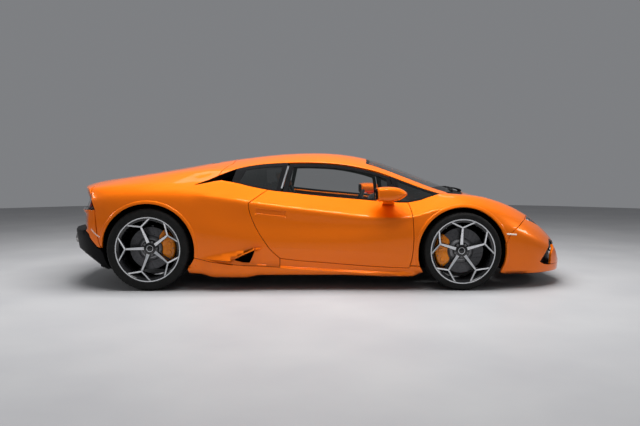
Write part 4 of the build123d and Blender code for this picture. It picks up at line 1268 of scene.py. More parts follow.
def lathe(name, prof, centre, sign, mats, mi=None, seg=96, body="body", slot=None, replaces=(), a0=0.0, a1=360.0, close=False, warp=None, smooth_angle=30):
    """Turned solid about a line along y: profile rows (w outward, r) in mm; sign +1 left side, -1 right side."""
    full = abs(a1 - a0) >= 360
    n = seg if full else seg + 1
    verts, faces, mids = [], [], []
    m = len(prof)
    for i in range(n):
        th = math.radians(a0 + (a1 - a0) * i / seg)
        for k, (w, r) in enumerate(prof):
            if warp:
                w, r = warp(i, k, w, r)
            verts.append((centre[0] + r / 1000 * math.cos(th), centre[1] + sign * w / 1000, centre[2] + r / 1000 * math.sin(th)))
    for i in range(seg):
        j = (i + 1) % n
        for k in range(m if close else m - 1):
            l = (k + 1) % m
            faces.append((i * m + k, i * m + l, j * m + l, j * m + k))
            mids.append(mi[k] if mi else 0)
    ob = make(name, verts, faces, mats, mids if mi else None, None, body, slot, replaces)
    fix_normals(ob)
    if smooth_angle:
        sharp(ob, smooth_angle)
    return ob


def join(name, obs):
    """One piece from several on the same body."""
    obs = [o for o in obs if o is not None]
    first = obs[0]
    verts, faces, mids, mats, smooth = [], [], [], [], []
    sharp_e = []
    for o in obs:
        base = len(verts)
        mw = o.matrix_world
        verts += [mw @ v.co for v in o.data.vertices]
        remap = {}
        for i, m in enumerate(o.data.materials):
            if m not in mats:
                mats.append(m)
            remap[i] = mats.index(m)
        for q in o.data.polygons:
            faces.append(tuple(base + v for v in q.vertices))
            mids.append(remap.get(q.material_index, 0))
            smooth.append(q.use_smooth)
    body, slot = first["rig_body"], first.get("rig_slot")
    reps = []
    for o in obs:
        r = o.get("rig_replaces")
        if r:
            reps += list(r) if not isinstance(r, str) else [r]
    for o in obs:
        me = o.data
        bpy.data.objects.remove(o)
        bpy.data.meshes.remove(me)
    ob = make(name, verts, faces, mats, mids, None, body, slot)
    sharp(ob, 32)
    return ob


def block(name, corners_lo, corners_hi, mat, body="body", slot=None, bevel=0.006, seg=3, shear=None, replaces=(), subdiv=0):
    """Rounded housing: a box with eased edges, its vertices then moved by shear."""
    bm = bmesh.new()
    lo, hi = Vector(corners_lo), Vector(corners_hi)
    bmesh.ops.create_cube(bm, size=1.0)
    for v in bm.verts:
        v.co = Vector((lo[i] + (hi[i] - lo[i]) * (v.co[i] + 0.5) for i in range(3)))
    if subdiv:
        bmesh.ops.subdivide_edges(bm, edges=bm.edges[:], cuts=subdiv, use_grid_fill=True)
        edges = [e for e in bm.edges if e.calc_face_angle(0) > 0.5]
    else:
        edges = bm.edges[:]
    bmesh.ops.bevel(bm, geom=edges, offset=bevel, segments=seg, profile=0.6, affect="EDGES")
    if shear:
        for v in bm.verts:
            v.co = shear(v.co.copy())
    me = bpy.data.meshes.new(name)
    bm.to_mesh(me)
    bm.free()
    me.materials.append(mat)
    me.polygons.foreach_set("use_smooth", [True] * len(me.polygons))
    ob = bpy.data.objects.new(name, me)
    bpy.context.scene.collection.objects.link(ob)
    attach(ob, body)
    if slot:
        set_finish(ob, slot)
    if replaces:
        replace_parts(ob, *replaces)
    ob.data.set_sharp_from_angle(angle=math.radians(40))
    return ob


def tube(name, pts, radius, mat, body="body", slot=None, seg=10, radii=None, flat=1.0, closed=False, up=None):
    """Round or oval bar along points."""
    pts = [Vector(q) for q in pts]
    n = len(pts)
    verts, faces = [], []
    N = None
    for i, q in enumerate(pts):
        if closed:
            td = (pts[(i + 1) % n] - pts[i - 1]).normalized()
        else:
            td = (pts[min(i + 1, n - 1)] - pts[max(i - 1, 0)]).normalized()
        if up is not None:
            N = (Vector(up) - td * td.dot(Vector(up))).normalized()
        elif N is None:
            N = td.orthogonal().normalized()
        else:
            N = (N - td * td.dot(N)).normalized()
        B = td.cross(N)
        r = radii[i] if radii else radius
        for k in range(seg):
            th = 2 * math.pi * k / seg
            verts.append(q + N * (r * flat * math.sin(th)) + B * (r * math.cos(th)))
    for i in range(n if closed else n - 1):
        j = (i + 1) % n
        for k in range(seg):
            m = (k + 1) % seg
            faces.append((i * seg + k, i * seg + m, j * seg + m, j * seg + k))
    if not closed:
        faces.append(tuple(range(seg)))
        faces.append(tuple(range((n - 1) * seg, n * seg))[::-1])
    ob = make(name, verts, faces, mat, None, None, body, slot)
    fix_normals(ob)
    sharp(ob, 40)
    return ob


def mir(pts):
    return [Vector((q[0], -q[1], q[2])) for q in pts]


def full(half):
    """Closed outline from its left half, whose first and last points lie on the centre line."""
    return list(half) + mir(half[-2:0:-1])


# =====================================================================================
# nose: bumper, lamps, intakes, lip
# =====================================================================================
for k, sl_ in enumerate(SLOTS):
    well(f"lid_slot_{k + 1}", P(sl_), TOP, 0.022, M["mesh"], M["satin"], body="engine_cover", step=0.03)

UNDER = Under()


def u(x, y):
    return HULL.ray(*UNDER.ray(x / 1000, y / 1000))[0]


FENDER_FRONT = spline([(1850, 470), (1865, 560), (1822, 680), (1795, 740)], n=4)
INTAKE = ([s(1925, 222), s(1962, 268), s(2000, 317), s(2030, 362), s(2056, 400)] + [f(y, z) for y, z in ((520, 381), (430, 362), (330, 330), (230, 292), (165, 262), (140, 236), (150, 208), (240, 196), (360, 192), (480, 190))]
          + [s(2013, 190), s(1968, 198)])
hood_all = [q for q in HOOD_EDGE if q[0] >= 1849.5][::-1]
bumper_half = (P(hood_all) + P(FENDER_FRONT[1:]) + S([(1760, 560), (1640, 478)]) + S(arc_pts("front", 10, -27, 14))
               + [u(1560, 840), u(1640, 830), u(1760, 800), u(1880, 745), u(1990, 665), u(2080, 575), u(2150, 470), u(2200, 330), u(2212, 160), u(2214, 0)])
bumper_f = panel("front_bumper_skin", full(bumper_half), NOSE, M["paint"], replaces=("front_bumper",), disp=relief, step=0.022, edge=0.009,
                 holes=[P(LAMP), mir(P(LAMP)), INTAKE, mir(INTAKE)], lines=arcs("front", -30, 30) + [mir(q) for q in arcs("front", -30, 30)], thick=0.022)

for tag, sg in (("left", 1), ("right", -1)):
    flip_ = (lambda L: L) if sg > 0 else mir
    lamp_line = flip_(P(LAMP))
    well("headlight_bucket_" + tag, lamp_line, NOSE, 0.055, M["black"], M["black"], slot="lamp_cover", replaces=("headlights",) if sg > 0 else ())
    panel("headlight_lens_" + tag, lamp_line, NOSE, M["lens"], slot="lamp_cover", step=0.03, edge=0.012, thick=0.003, r=0.001, offset=-0.001)
    # light guide: two slim arms that meet, and a round projector
    g1 = [p(x, y) for x, y in spline([(1838, 668), (1900, 615), (1990, 535), (2062, 458)], n=5)]
    g2 = [p(x, y) for x, y in spline([(1990, 535), (1962, 515), (1925, 528), (1880, 580)], n=4)]
    g3 = [p(x, y) for x, y in spline([(2062, 458), (2082, 430), (2086, 400)], n=4)]
    for k, g in enumerate((g1, g2, g3)):
        ribbon(f"headlight_guide_{k + 1}_{tag}", flip_(g), 0.011, 0.010, M["lamp_white"], slot="lamp_cover", lift=-0.034)
    bez = [p(x, y) for x, y in spline([(1822, 690), (1890, 600), (1960, 520), (2060, 415)], n=5)]
    ribbon(f"headlight_bezel_{tag}", flip_(bez), 0.030, 0.014, M["reflector"], slot="lamp_cover", lift=-0.052)
    for k, (x, y) in enumerate(((1888, 600), (1985, 492))):
        c = flip_([p(x, y)])[0]
        N = HULL.near(c)[1]
        fwd = Vector((0.86, 0.28 * sg, 0.30)).normalized()
        rings, m = [], 20
        cc = c - N * 0.045
        t1 = fwd.cross(Vector((0, 0, 1))).normalized()
        t2 = fwd.cross(t1)
        verts, faces = [], []
        prof = [(0.030, -0.006), (0.030, 0.010), (0.026, 0.013), (0.024, 0.008), (0.020, 0.012), (0.012, 0.018), (0.004, 0.0205)]
        for rr, hh in prof:
            for j in range(m):
                th = 2 * math.pi * j / m
                verts.append(cc + t1 * rr * math.cos(th) + t2 * rr * math.sin(th) + fwd * hh)
        for i in range(len(prof) - 1):
            for j in range(m):
                faces.append((i * m + j, i * m + (j + 1) % m, (i + 1) * m + (j + 1) % m, (i + 1) * m + j))
        faces.append(tuple(range((len(prof) - 1) * m, len(prof) * m)))
        o = make(f"headlight_projector_{k + 1}_{tag}", verts, faces, [M["reflector"], M["lens"]], [0 if i // m < 3 else 1 for i in range(len(faces))], None, "body", "lamp_cover")
        fix_normals(o)
    # intake: mesh floor and dark walls, and the blade that crosses it
    opening = INTAKE if sg > 0 else mir(INTAKE)
    well("front_intake_" + tag, opening, NOSE, 0.070, M["mesh"], M["satin"], replaces=("front_grilles",) if sg > 0 else ())
    fin = [f(y, z) for y, z in [(400, 186), (520, 184), (640, 184)] + spline([(708, 188), (704, 214), (706, 250), (698, 290), (650, 328), (606, 354)], n=4) + [(588, 350)] + spline([(600, 320), (606, 282), (588, 242), (520, 214), (440, 204)], n=4)]
    panel(f"intake_blade_{tag}", flip_(fin), NOSE, M["paint"], step=0.02, edge=0.008, thick=0.020, r=0.003, back=True, offset=0.0005)
    strut = [f(590 - (z - 340) * 0.3, z) - HULL.near(f(590, z))[1] * 0.012 for z in (340, 352, 366, 380)]
    ribbon(f"intake_strut_{tag}", flip_(strut), 0.022, 0.012, M["satin"], slot="black_plastic", lift=-0.004, bevel=0.35)
    slat = [f(y, 250 + (y - 170) * 0.06) for y in (165, 260, 360, 460, 560)]
    ribbon(f"intake_slat_{tag}", flip_(slat), 0.016, 0.010, M["satin"], slot="black_plastic", lift=-0.034)
    mark = S([(1572, 471), (1630, 469), (1686, 463)])
    ribbon(f"side_marker_front_{tag}", flip_(mark), 0.013, 0.0025, M["marker"], slot="lamp_cover", bevel=0.5)

# splitter blade along the bottom of the nose
lip_top = [u(1640, 800), u(1760, 772), u(1880, 716), u(1990, 640), u(2080, 552), u(2150, 452), u(2200, 318), u(2214, 160), u(2217, 0)]
lip_pts = [Vector(q) for q in lip_top]
lip_full = lip_pts + mir(lip_pts[-2::-1])
verts, faces = [], []
prof = [(-0.060, 0.004), (0.004, 0.002), (0.012, -0.003), (0.012, -0.008), (0.004, -0.011), (-0.060, -0.011)]
for i, q in enumerate(lip_full):
    a_, b_ = lip_full[max(i - 1, 0)], lip_full[min(i + 1, len(lip_full) - 1)]
    td = (b_ - a_)
    td.z = 0
    td.normalize()
    o = td.cross(Vector((0, 0, 1)))
    if o.dot(Vector((q.x - 1.0, q.y * 0.4, 0))) < 0:
        o = -o
    for w, h in prof:
        verts.append(q + o * (w - 0.012) + Vector((0, 0, h)))
m = len(prof)
for i in range(len(lip_full) - 1):
    for k in range(m):
        faces.append((i * m + k, i * m + (k + 1) % m, (i + 1) * m + (k + 1) % m, (i + 1) * m + k))
faces += [tuple(range(m)), tuple(range((len(lip_full) - 1) * m, len(lip_full) * m))]
spl = make("splitter_lip", verts, faces, M["satin"], None, None, "body", "black_plastic", ("front_splitter",))
fix_normals(spl)
sharp(spl, 35)

# =====================================================================================
# tail: deck, lamp band, bumper, diffuser
# =====================================================================================


def ft(y, z):
    return f(y, z, -1)


E_TOP = tail_edge_top()
TAIL_EDGES = []
for dx_, dz_ in ((0.0, 0.0), (0.008, 0.0), (0.018, 0.0), (0.0, -0.005), (0.0, -0.011)):
    half_ = [HULL.cut(*HULL.raw(Vector((q.x + dx_, q.y, 3.0)), Vector((0, 0, -1))))[0] if dx_ else HULL.cut(*HULL.raw(Vector((-3.0, q.y, q.z + dz_)), Vector((1, 0, 0))))[0] for q in E_TOP[:-1]]
    TAIL_EDGES.append([Vector((q.x, -q.y, q.z)) for q in half_[:0:-1]] + half_)
QUARTER_REAR = P([(-1852, 520), (-1875, 640), (-1885, 740)]) + S([(-1893, 800), (-1893, 757)])
BAND_TOP = S([(-1893, 757)]) + [ft(y, z) for y, z in ((800, 762), (720, 772), (600, 784), (450, 794), (300, 800), (150, 803), (0, 804))]
BAND_LOW = S([(-1838, 674), (-1880, 673)]) + [ft(y, z) for y, z in ((800, 670), (700, 668), (560, 667), (400, 666), (200, 666), (0, 666))]
deck_half = (P(spline([(-1905, 0), (-1895, 380), (-1852, 520)], n=6)) + QUARTER_REAR[1:] + BAND_TOP[1:])
deck = panel("tail_deck", full(deck_half), TAIL, M["paint"], replaces=("tail_panel",), step=0.018, edge=0.008, thick=0.02,
             lines=TAIL_EDGES + [[ft(y, z) for y in range(-840, 841, 30)] for z in (822, 838)])

# closed outline of the whole band
band_full = full(BAND_LOW[::-1] + S([(-1866, 716)]) + BAND_TOP)
well("tail_band", band_full, TAIL, 0.034, M["mesh"], M["black"], replaces=("rear_grille",), step=0.03)
for tag, sg in (("left", 1), ("right", -1)):
    flip_ = (lambda L: L) if sg > 0 else mir
    lamp_o = S([(-1843, 677), (-1868, 716), (-1895, 753)]) + [ft(y, z) for y, z in ((800, 757), (720, 766), (600, 777), (500, 784), (470, 735), (520, 676), (620, 673), (720, 673), (800, 675))] + S([(-1900, 677)])
    panel("taillight_lens_" + tag, flip_(lamp_o), TAIL, M["smoke"], slot="lamp_cover", step=0.014, edge=0.008, thick=0.004, r=0.001, offset=-0.006, replaces=("taillights",) if sg > 0 else ())
    panel("taillight_housing_" + tag, flip_(lamp_o), TAIL, M["black"], slot="lamp_cover", step=0.03, edge=0.010, thick=0.012, r=0.002, offset=-0.034)
    for k in range(3):
        y0 = 512 + k * 80
        zc = 724 - k * 2
        a1 = [ft(y0 + 62, zc), ft(y0 + 30, zc)]
        up_ = [ft(y0 + 30, zc), ft(y0 + 12, zc + 18), ft(y0 - 12, zc + 34)]
        dn_ = [ft(y0 + 30, zc), ft(y0 + 12, zc - 18), ft(y0 - 12, zc - 34)]
        for j, g in enumerate((a1, up_, dn_)):
            ribbon(f"taillight_guide_{k + 1}{'abc'[j]}_{tag}", flip_(g), 0.010, 0.008, M["lamp_red"], slot="lamp_cover", lift=-0.028, normals=[(-0.95, 0.30 * sg, 0.0)] * len(g))

bumper_r_half = ([ft(0, 664)] + BAND_LOW[::-1][1:] + S([(-1812, 400), (-1799, 352)])
                 + S([(-1830, 360), (-1890, 430), (-1905, 470)]) + [ft(y, z) for y, z in ((800, 507), (700, 509), (640, 509), (480, 509), (300, 509), (150, 509), (0, 509))])
PLATE = [ft(y, z) for y, z in ((268, 517), (268, 631), (0, 631), (-268, 631), (-268, 517), (0, 517))]
bumper_r = panel("rear_bumper_skin", full(bumper_r_half), TAIL, M["paint"], replaces=("rear_bumper",), step=0.020, edge=0.009, holes=[PLATE], thick=0.018,
                 lines=[[ft(y, z) for y in range(-820, 821, 30)] for z in (635, 639, 643, 647, 651)])
well("plate_recess", PLATE, TAIL, 0.016, M["satin"], M["satin"], step=0.03)
bl = block("plate_blank", (-2.126, -0.258, 0.520), (-2.120, 0.258, 0.628), M["plate"], slot="black_plastic", bevel=0.002, seg=2)

diff_half = ([ft(0, 506)] + [ft(y, z) for y, z in ((150, 506), (300, 506), (480, 506), (640, 506), (700, 506), (800, 504))] + S([(-1908, 467), (-1893, 427), (-1833, 357), (-1800, 340)])
             + S([q for q in arc_pts("rear", 184, 214, 24)[1:] if q[1] > 166]) + [u(-1800, 655), u(-1880, 630), u(-1970, 575), u(-2060, 500), u(-2140, 405), u(-2185, 330), u(-2215, 240), u(-2222, 120), u(-2224, 0)])
DIFF_OPEN = [ft(y, z) for y, z in ((235, 350), (250, 462), (420, 468), (560, 466), (630, 450), (600, 380), (520, 345), (380, 338))]
diff = panel("diffuser_skin", full(diff_half), TAIL, M["satin"], slot="black_plastic", replaces=("diffuser",), step=0.024, edge=0.010, holes=[DIFF_OPEN, mir(DIFF_OPEN)], thick=0.016,
              lines=[[ft(y, z) for y in range(-800, 801, 30)] for z in (502, 499, 496, 493, 490, 486)])
for tag, sg in (("left", 1), ("right", -1)):
    flip_ = (lambda L: L) if sg > 0 else mir
    well("diffuser_vent_" + tag, flip_(DIFF_OPEN), TAIL, 0.070, M["mesh"], M["satin"])
    # rear side marker strip; its pale lens colour is partly a painted highlight
    mark = S([(-1876, 512), (-1850, 486), (-1822, 462), (-1796, 446)])
    ribbon(f"side_marker_rear_{tag}", flip_(mark), 0.012, 0.0025, M["marker_red"], slot="lamp_cover", bevel=0.5)


DIFF_LOW = [(abs(q.y), q.x, q.z) for q in (u(-1800, 655), u(-1880, 630), u(-1970, 575), u(-2060, 500), u(-2140, 405), u(-2185, 330), u(-2215, 240), u(-2222, 120), u(-2224, 0))][::-1]


def diff_floor(x, y):
    """Rear edge of the diffuser's floor at this width, and the floor's height at x."""
    w = abs(y)
    ex, ez = DIFF_LOW[-1][1:]
    for a_, b_ in zip(DIFF_LOW, DIFF_LOW[1:]):
        if w <= b_[0]:
            t_ = (w - a_[0]) / max(1e-6, b_[0] - a_[0])
            ex, ez = a_[1] + (b_[1] - a_[1]) * t_, a_[2] + (b_[2] - a_[2]) * t_
            break
    t_ = min(1.0, max(0.0, (x - ex) / (-1.70 - ex)))
    return ex, ez + 0.004 + (0.128 - ez) * t_ ** 0.85


verts, faces = [], []
NY, NX = 56, 14
for side_ in (0.0, 0.008):
    for i in range(NY + 1):
        y = -0.65 + 1.30 * i / NY
        ex = diff_floor(0, y)[0] + 0.006
        for j in range(NX + 1):
            x = ex + (-1.70 - ex) * j / NX
            verts.append((x, y, diff_floor(x, y)[1] + side_))
off = (NY + 1) * (NX + 1)
for i in range(NY):
    for j in range(NX):
        a_, b_ = i * (NX + 1) + j, (i + 1) * (NX + 1) + j
        faces.append((a_, a_ + 1, b_ + 1, b_))
        faces.append((off + a_, off + b_, off + b_ + 1, off + a_ + 1))
ring_ = [i * (NX + 1) for i in range(NY)] + [NY * (NX + 1) + j for j in range(NX)] + [i * (NX + 1) + NX for i in range(NY, 0, -1)] + [j for j in range(NX, 0, -1)]
for k in range(len(ring_)):
    a_, b_ = ring_[k], ring_[(k + 1) % len(ring_)]
    faces.append((a_, b_, off + b_, off + a_))
dfl = make("diffuser_floor", verts, faces, M["satin"], None, None, "body", "black_plastic")
fix_normals(dfl)
sharp(dfl, 40)
for k, y in enumerate((-0.42, -0.14, 0.14, 0.42)):
    def fin_at(c, y=y):
        x = max(c.x, diff_floor(0, y)[0] + 0.010 + 0.03 * (1 - c.z))
        low = 0.112 + 0.093 * max(0, (-1.90 - x)) / 0.29 + 0.038 * max(0.0, x + 1.90) / 0.07
        return Vector((x, c.y, low * (1 - c.z) + max(low + 0.012, diff_floor(x, y)[1] + 0.004) * c.z))
    block(f"diffuser_fin_{k + 1}", (-2.19, y - 0.005, 0.0), (-1.83, y + 0.005, 1.0), M["satin"], slot="black_plastic", bevel=0.002, seg=2, subdiv=6, shear=fin_at)
# =====================================================================================
# wheels, tyres, brakes, arch liners
# =====================================================================================
WHEEL = {"front": (1.225, 0.834, 0.3275, 327.5, 240.0, 112.0, 52.0, 190.0, 90.0, (138, 222)),
         "rear": (-1.395, 0.810, 0.3455, 345.5, 290.0, 136.0, 56.0, 178.0, 36.0, (-28, 54))}


def w_face(kind, r):
    _, _, _, _, _, flange, hub = WHEEL[kind][:7]
    return hub if r <= 55 else hub + (flange - 3 - hub) * ((r - 55) / 209.0) ** 1.25


def wheel_bar(kind, p0, p1, wf0, wf1, depth, n=9):
    """Rows for one spoke stretch in wheel coordinates (a, b, w): black body, bright face."""
    rows = []
    for i in range(n + 1):
        t_ = i / n
        a_, b_ = p0[0] + (p1[0] - p0[0]) * t_, p0[1] + (p1[1] - p0[1]) * t_
        r = math.hypot(a_, b_)
        w = w_face(kind, r)
        dx, dy = p1[0] - p0[0], p1[1] - p0[1]
        L = math.hypot(dx, dy)
        nx, ny = -dy / L, dx / L
        wf = wf0 + (wf1 - wf0) * t_
        h = wf / 2
        sec = [(-h, 0.0), (h, 0.0), (h + 1.4, -1.6), (h + 4.2, -5.0), (h + 6.5, -depth), (-h - 6.5, -depth), (-h - 4.2, -5.0), (-h - 1.4, -1.6)]
        rows.append([(a_ + nx * q, b_ + ny * q, w + d) for q, d in sec])
    return rows


def rim(kind, tag, sg):
    x, half, z, R, W, flange, hub, rd, a0, _ = WHEEL[kind]
    c = (x, half * sg, z)
    inner = -(W / 2 - 6)
    body = f"wheel_{kind}_{tag}"
    prof = [(flange - 1, 273), (flange + 0.5, 271.5), (flange, 270.5), (flange - 1, 270), (flange - 1.8, 261.5), (flange - 3.0, 260.5), (flange - 10, 254), (flange - 14, 243), (flange - 30, 238), (inner + 34, 236),
            (inner + 10, 243), (inner + 2, 247), (inner + 1, 256), (inner + 6, 258), (inner + 12, 254), (flange - 14, 254), (flange - 10, 262), (flange - 8, 269)]
    mi = [0, 0, 0, 1, 0, 0, 0, 0, 0, 0, 0, 0, 0, 0, 0, 0, 0, 0]
    barrel = lathe("rim_barrel", prof, c, sg, [M["rim_black"], M["rim_cut"]], mi, seg=160, body=body, slot="rim_alloy", close=True)
    verts, faces, mids = [], [], []

    def add(rows):
        base = len(verts)
        m = len(rows[0])
        for row in rows:
            for a_, b_, w in row:
                verts.append((c[0] + a_ / 1000, c[1] + sg * w / 1000, c[2] + b_ / 1000))
        for i in range(len(rows) - 1):
            for k in range(m):
                faces.append((base + i * m + k, base + i * m + (k + 1) % m, base + (i + 1) * m + (k + 1) % m, base + (i + 1) * m + k))
                mids.append(1 if k == 0 else 0)
        faces.append(tuple(base + k for k in range(m)))
        faces.append(tuple(base + (len(rows) - 1) * m + k for k in range(m)))
        mids.extend([0, 0])

    for k in range(5):
        a = math.radians(a0 + 72 * k)
        ca, sa = math.cos(a), math.sin(a)
        add(wheel_bar(kind, (40 * ca, 40 * sa), (200 * ca, 200 * sa), 27.0, 13.5, 22))
        for q in (1, -1):
            b = a + q * math.radians(22.3)
            add(wheel_bar(kind, (196 * ca, 196 * sa), (263.5 * math.cos(b), 263.5 * math.sin(b)), 12.5, 11.0, 20, 6))
    spokes = make("rim_spokes", verts, faces, [M["rim_black"], M["rim_cut"]], mids, None, body, "rim_alloy")
    fix_normals(spokes)
    hub_prof = [(hub - 22, 70), (hub - 14, 72), (hub - 5, 68), (hub - 2, 58), (hub + 1, 48), (hub + 2.5, 32), (hub + 3.5, 29), (hub + 5.5, 28), (hub + 5.8, 25), (hub + 4, 24), (hub + 5.5, 18), (hub + 6.5, 10), (hub + 6.8, 0.3)]
    hmi = [0, 0, 0, 0, 0, 0, 0, 1, 1, 0, 0, 0]
    hubp = lathe("rim_hub", hub_prof, c, sg, [M["rim_black"], M["rim_cut"]], hmi, seg=64, body=body, slot="rim_alloy")
    nuts = []
    for k in range(5):
        a = math.radians(a0 + 36 + 72 * k)
        cc = (c[0] + 0.056 * math.cos(a), c[1], c[2] + 0.056 * math.sin(a))
        nuts.append(lathe("nut", [(hub - 8, 10.5), (hub + 1, 10.5), (hub + 3, 8.5), (hub + 4, 8.0), (hub + 4, 4.5), (hub, 4.2), (hub, 0.2)], cc, sg, [M["steel"]], seg=12, body=body, slot="rim_alloy", smooth_angle=30))
    a = math.radians(a0 + 36)
    valve = lathe("valve", [(0, 3.2), (14, 3.2), (15, 2.6), (26, 2.4), (27, 0.2)], (c[0] + 0.240 * math.cos(a), c[1] + sg * (flange - 34) / 1000, c[2] + 0.240 * math.sin(a)), sg, [M["steel"]], seg=10, body=body, slot="rim_alloy")
    ob = join(f"rim_{kind}_{tag}_wheel", [spokes, barrel, hubp, valve] + nuts)
    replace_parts(ob, f"rim_{kind}_{tag}")
    return ob


def tyre(kind, tag, sg):
    x, half, z, R, W, flange, hub, rd, a0, _ = WHEEL[kind]
    H = W / 2
    hw = H - 30
    prof = [(-H + 20, 257), (-H + 9, 262), (-H + 4, 272), (-H + 1, 290), (-H + 2, R - 30), (-H + 7, R - 15), (-H + 16, R - 6)]
    grooves = [-0.66, -0.22, 0.22, 0.66]
    gw = 5.0

    def crown(w):
        return R - 2.2 * (w / hw) ** 2

    marks = [-hw]
    for g in grooves:
        w = g * hw
        marks += [("g", w)]
    marks += [hw]
    prof.append((-hw - 4, R - 3.2))
    prof.append((-hw + 6, crown(-hw)))
    last = -hw + 6
    for g in grooves:
        w = g * hw
        mid = (last + w - gw) / 2
        prof += [(mid, crown(mid)), (w - gw, crown(w)), (w - gw + 1.2, crown(w) - 6.5), (w + gw - 1.2, crown(w) - 6.5), (w + gw, crown(w))]
        last = w + gw
    mid = (last + hw - 6) / 2
    prof += [(mid, crown(mid)), (hw - 6, crown(hw)), (hw + 4, R - 3.2)]
    prof += [(H - 16, R - 6), (H - 7, R - 15), (H - 4, R - 19), (H - 3.2, R - 20.5), (H - 1.6, R - 27), (H - 0.6, R - 34), (H - 0.6, R - 35), (H, R - 36.2), (H - 0.2, R - 40), (H - 1.8, 283), (H - 1.4, 280), (H - 0.4, 277.5), (H - 0.6, 274.5), (H - 3.5, 272), (H - 9, 271), (H - 13, 267), (H - 18, 257)]
    zone = {i for i, (w, r) in enumerate(prof) if abs(w) > 0.66 * hw + gw + 2 and r > R - 9}
    zone2 = {i for i, (w, r) in enumerate(prof) if abs(w) < 0.66 * hw - gw and r > R - 4}

    def warp(i, k, w, r):
        if k in zone and i % 6 == 0:
            return w, r - 4.5
        if k in zone2 and abs(w) > 0.3 * hw and i % 6 == 3:
            return w, r - 3.0
        return w, r

    ob = lathe(f"tyre_{kind}_{tag}_tread", prof, (x, half * sg, z), sg, [M["tyre"]], seg=360, body=f"wheel_{kind}_{tag}", slot="tyre_rubber", replaces=(f"tyre_{kind}_{tag}",), warp=warp, smooth_angle=42)
    return ob


def disc(kind, tag, sg):
    x, half, z, R, W, flange, hub, rd, a0, _ = WHEEL[kind]
    body = f"wheel_{kind}_{tag}"
    r0 = 108.0
    ring_o = [(rd * math.cos(2 * math.pi * k / 120), rd * math.sin(2 * math.pi * k / 120)) for k in range(120)]
    ring_i = [(r0 * math.cos(2 * math.pi * k / 72), r0 * math.sin(2 * math.pi * k / 72)) for k in range(72)]
    holes = []
    for j in range(24):
        for q in range(4):
            a = 2 * math.pi * (j / 24 + q * 0.0085)
            rr = r0 + 12 + (rd - r0 - 22) * q / 3
            holes.append([(rr * math.cos(a) + 3.4 * math.cos(2 * math.pi * k / 8), rr * math.sin(a) + 3.4 * math.sin(2 * math.pi * k / 8)) for k in range(8)])
    pts, edges, loops = [], [], []
    for L in [ring_o, ring_i] + holes:
        b = len(pts)
        pts += [Vector(q) for q in L]
        edges += [(b + i, b + (i + 1) % len(L)) for i in range(len(L))]
        loops.append((b, len(L)))
    vv, ee, ff, ov, _, _ = delaunay_2d_cdt(pts, edges, [], 0, 1e-6, True)
    cen = np.array([((vv[a_][0] + vv[b_][0] + vv[c_][0]) / 3, (vv[a_][1] + vv[b_][1] + vv[c_][1]) / 3) for a_, b_, c_ in ff])
    rr = np.hypot(cen[:, 0], cen[:, 1])
    keep = (rr < rd) & (rr > r0 * 0.9995)
    for h in holes:
        hc = np.array(h).mean(0)
        keep &= np.hypot(cen[:, 0] - hc[0], cen[:, 1] - hc[1]) > 2.9
    tri = [tuple(f_) for f_, k in zip(ff, keep) if k]
    verts, faces = [], []
    n = len(vv)
    for w in (14.5, -13.5):
        verts += [(x + q[0] / 1000, half * sg + sg * w / 1000, z + q[1] / 1000) for q in vv]
    faces += tri + [tuple(n + v for v in t_[::-1]) for t_ in tri]
    back = {}
    for i, src in enumerate(ov):
        for q in src:
            back[q] = i
    for b, m in loops:
        for i in range(m):
            a_, c_ = back[b + i], back[b + (i + 1) % m]
            faces.append((a_, c_, n + c_, n + a_))
    face_ob = make("disc_faces", verts, faces, M["disc"], None, None, body, "disc_iron")
    fix_normals(face_ob)
    sharp(face_ob, 30)
    bell = lathe("disc_bell", [(-10, r0 + 3), (4, r0 + 2), (14, r0 - 6), (hub - 30, 88), (hub - 26, 82), (hub - 25, 40), (hub - 29, 34), (hub - 34, 34), (hub - 34, 76), (4, 90), (-10, 98)], (x, half * sg, z), sg, [M["alloy"]], seg=72, body=body, slot="disc_iron", close=True)
    ob = join(f"brake_disc_{kind}_{tag}", [face_ob, bell])
    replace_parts(ob, f"disc_{kind}_{tag}")


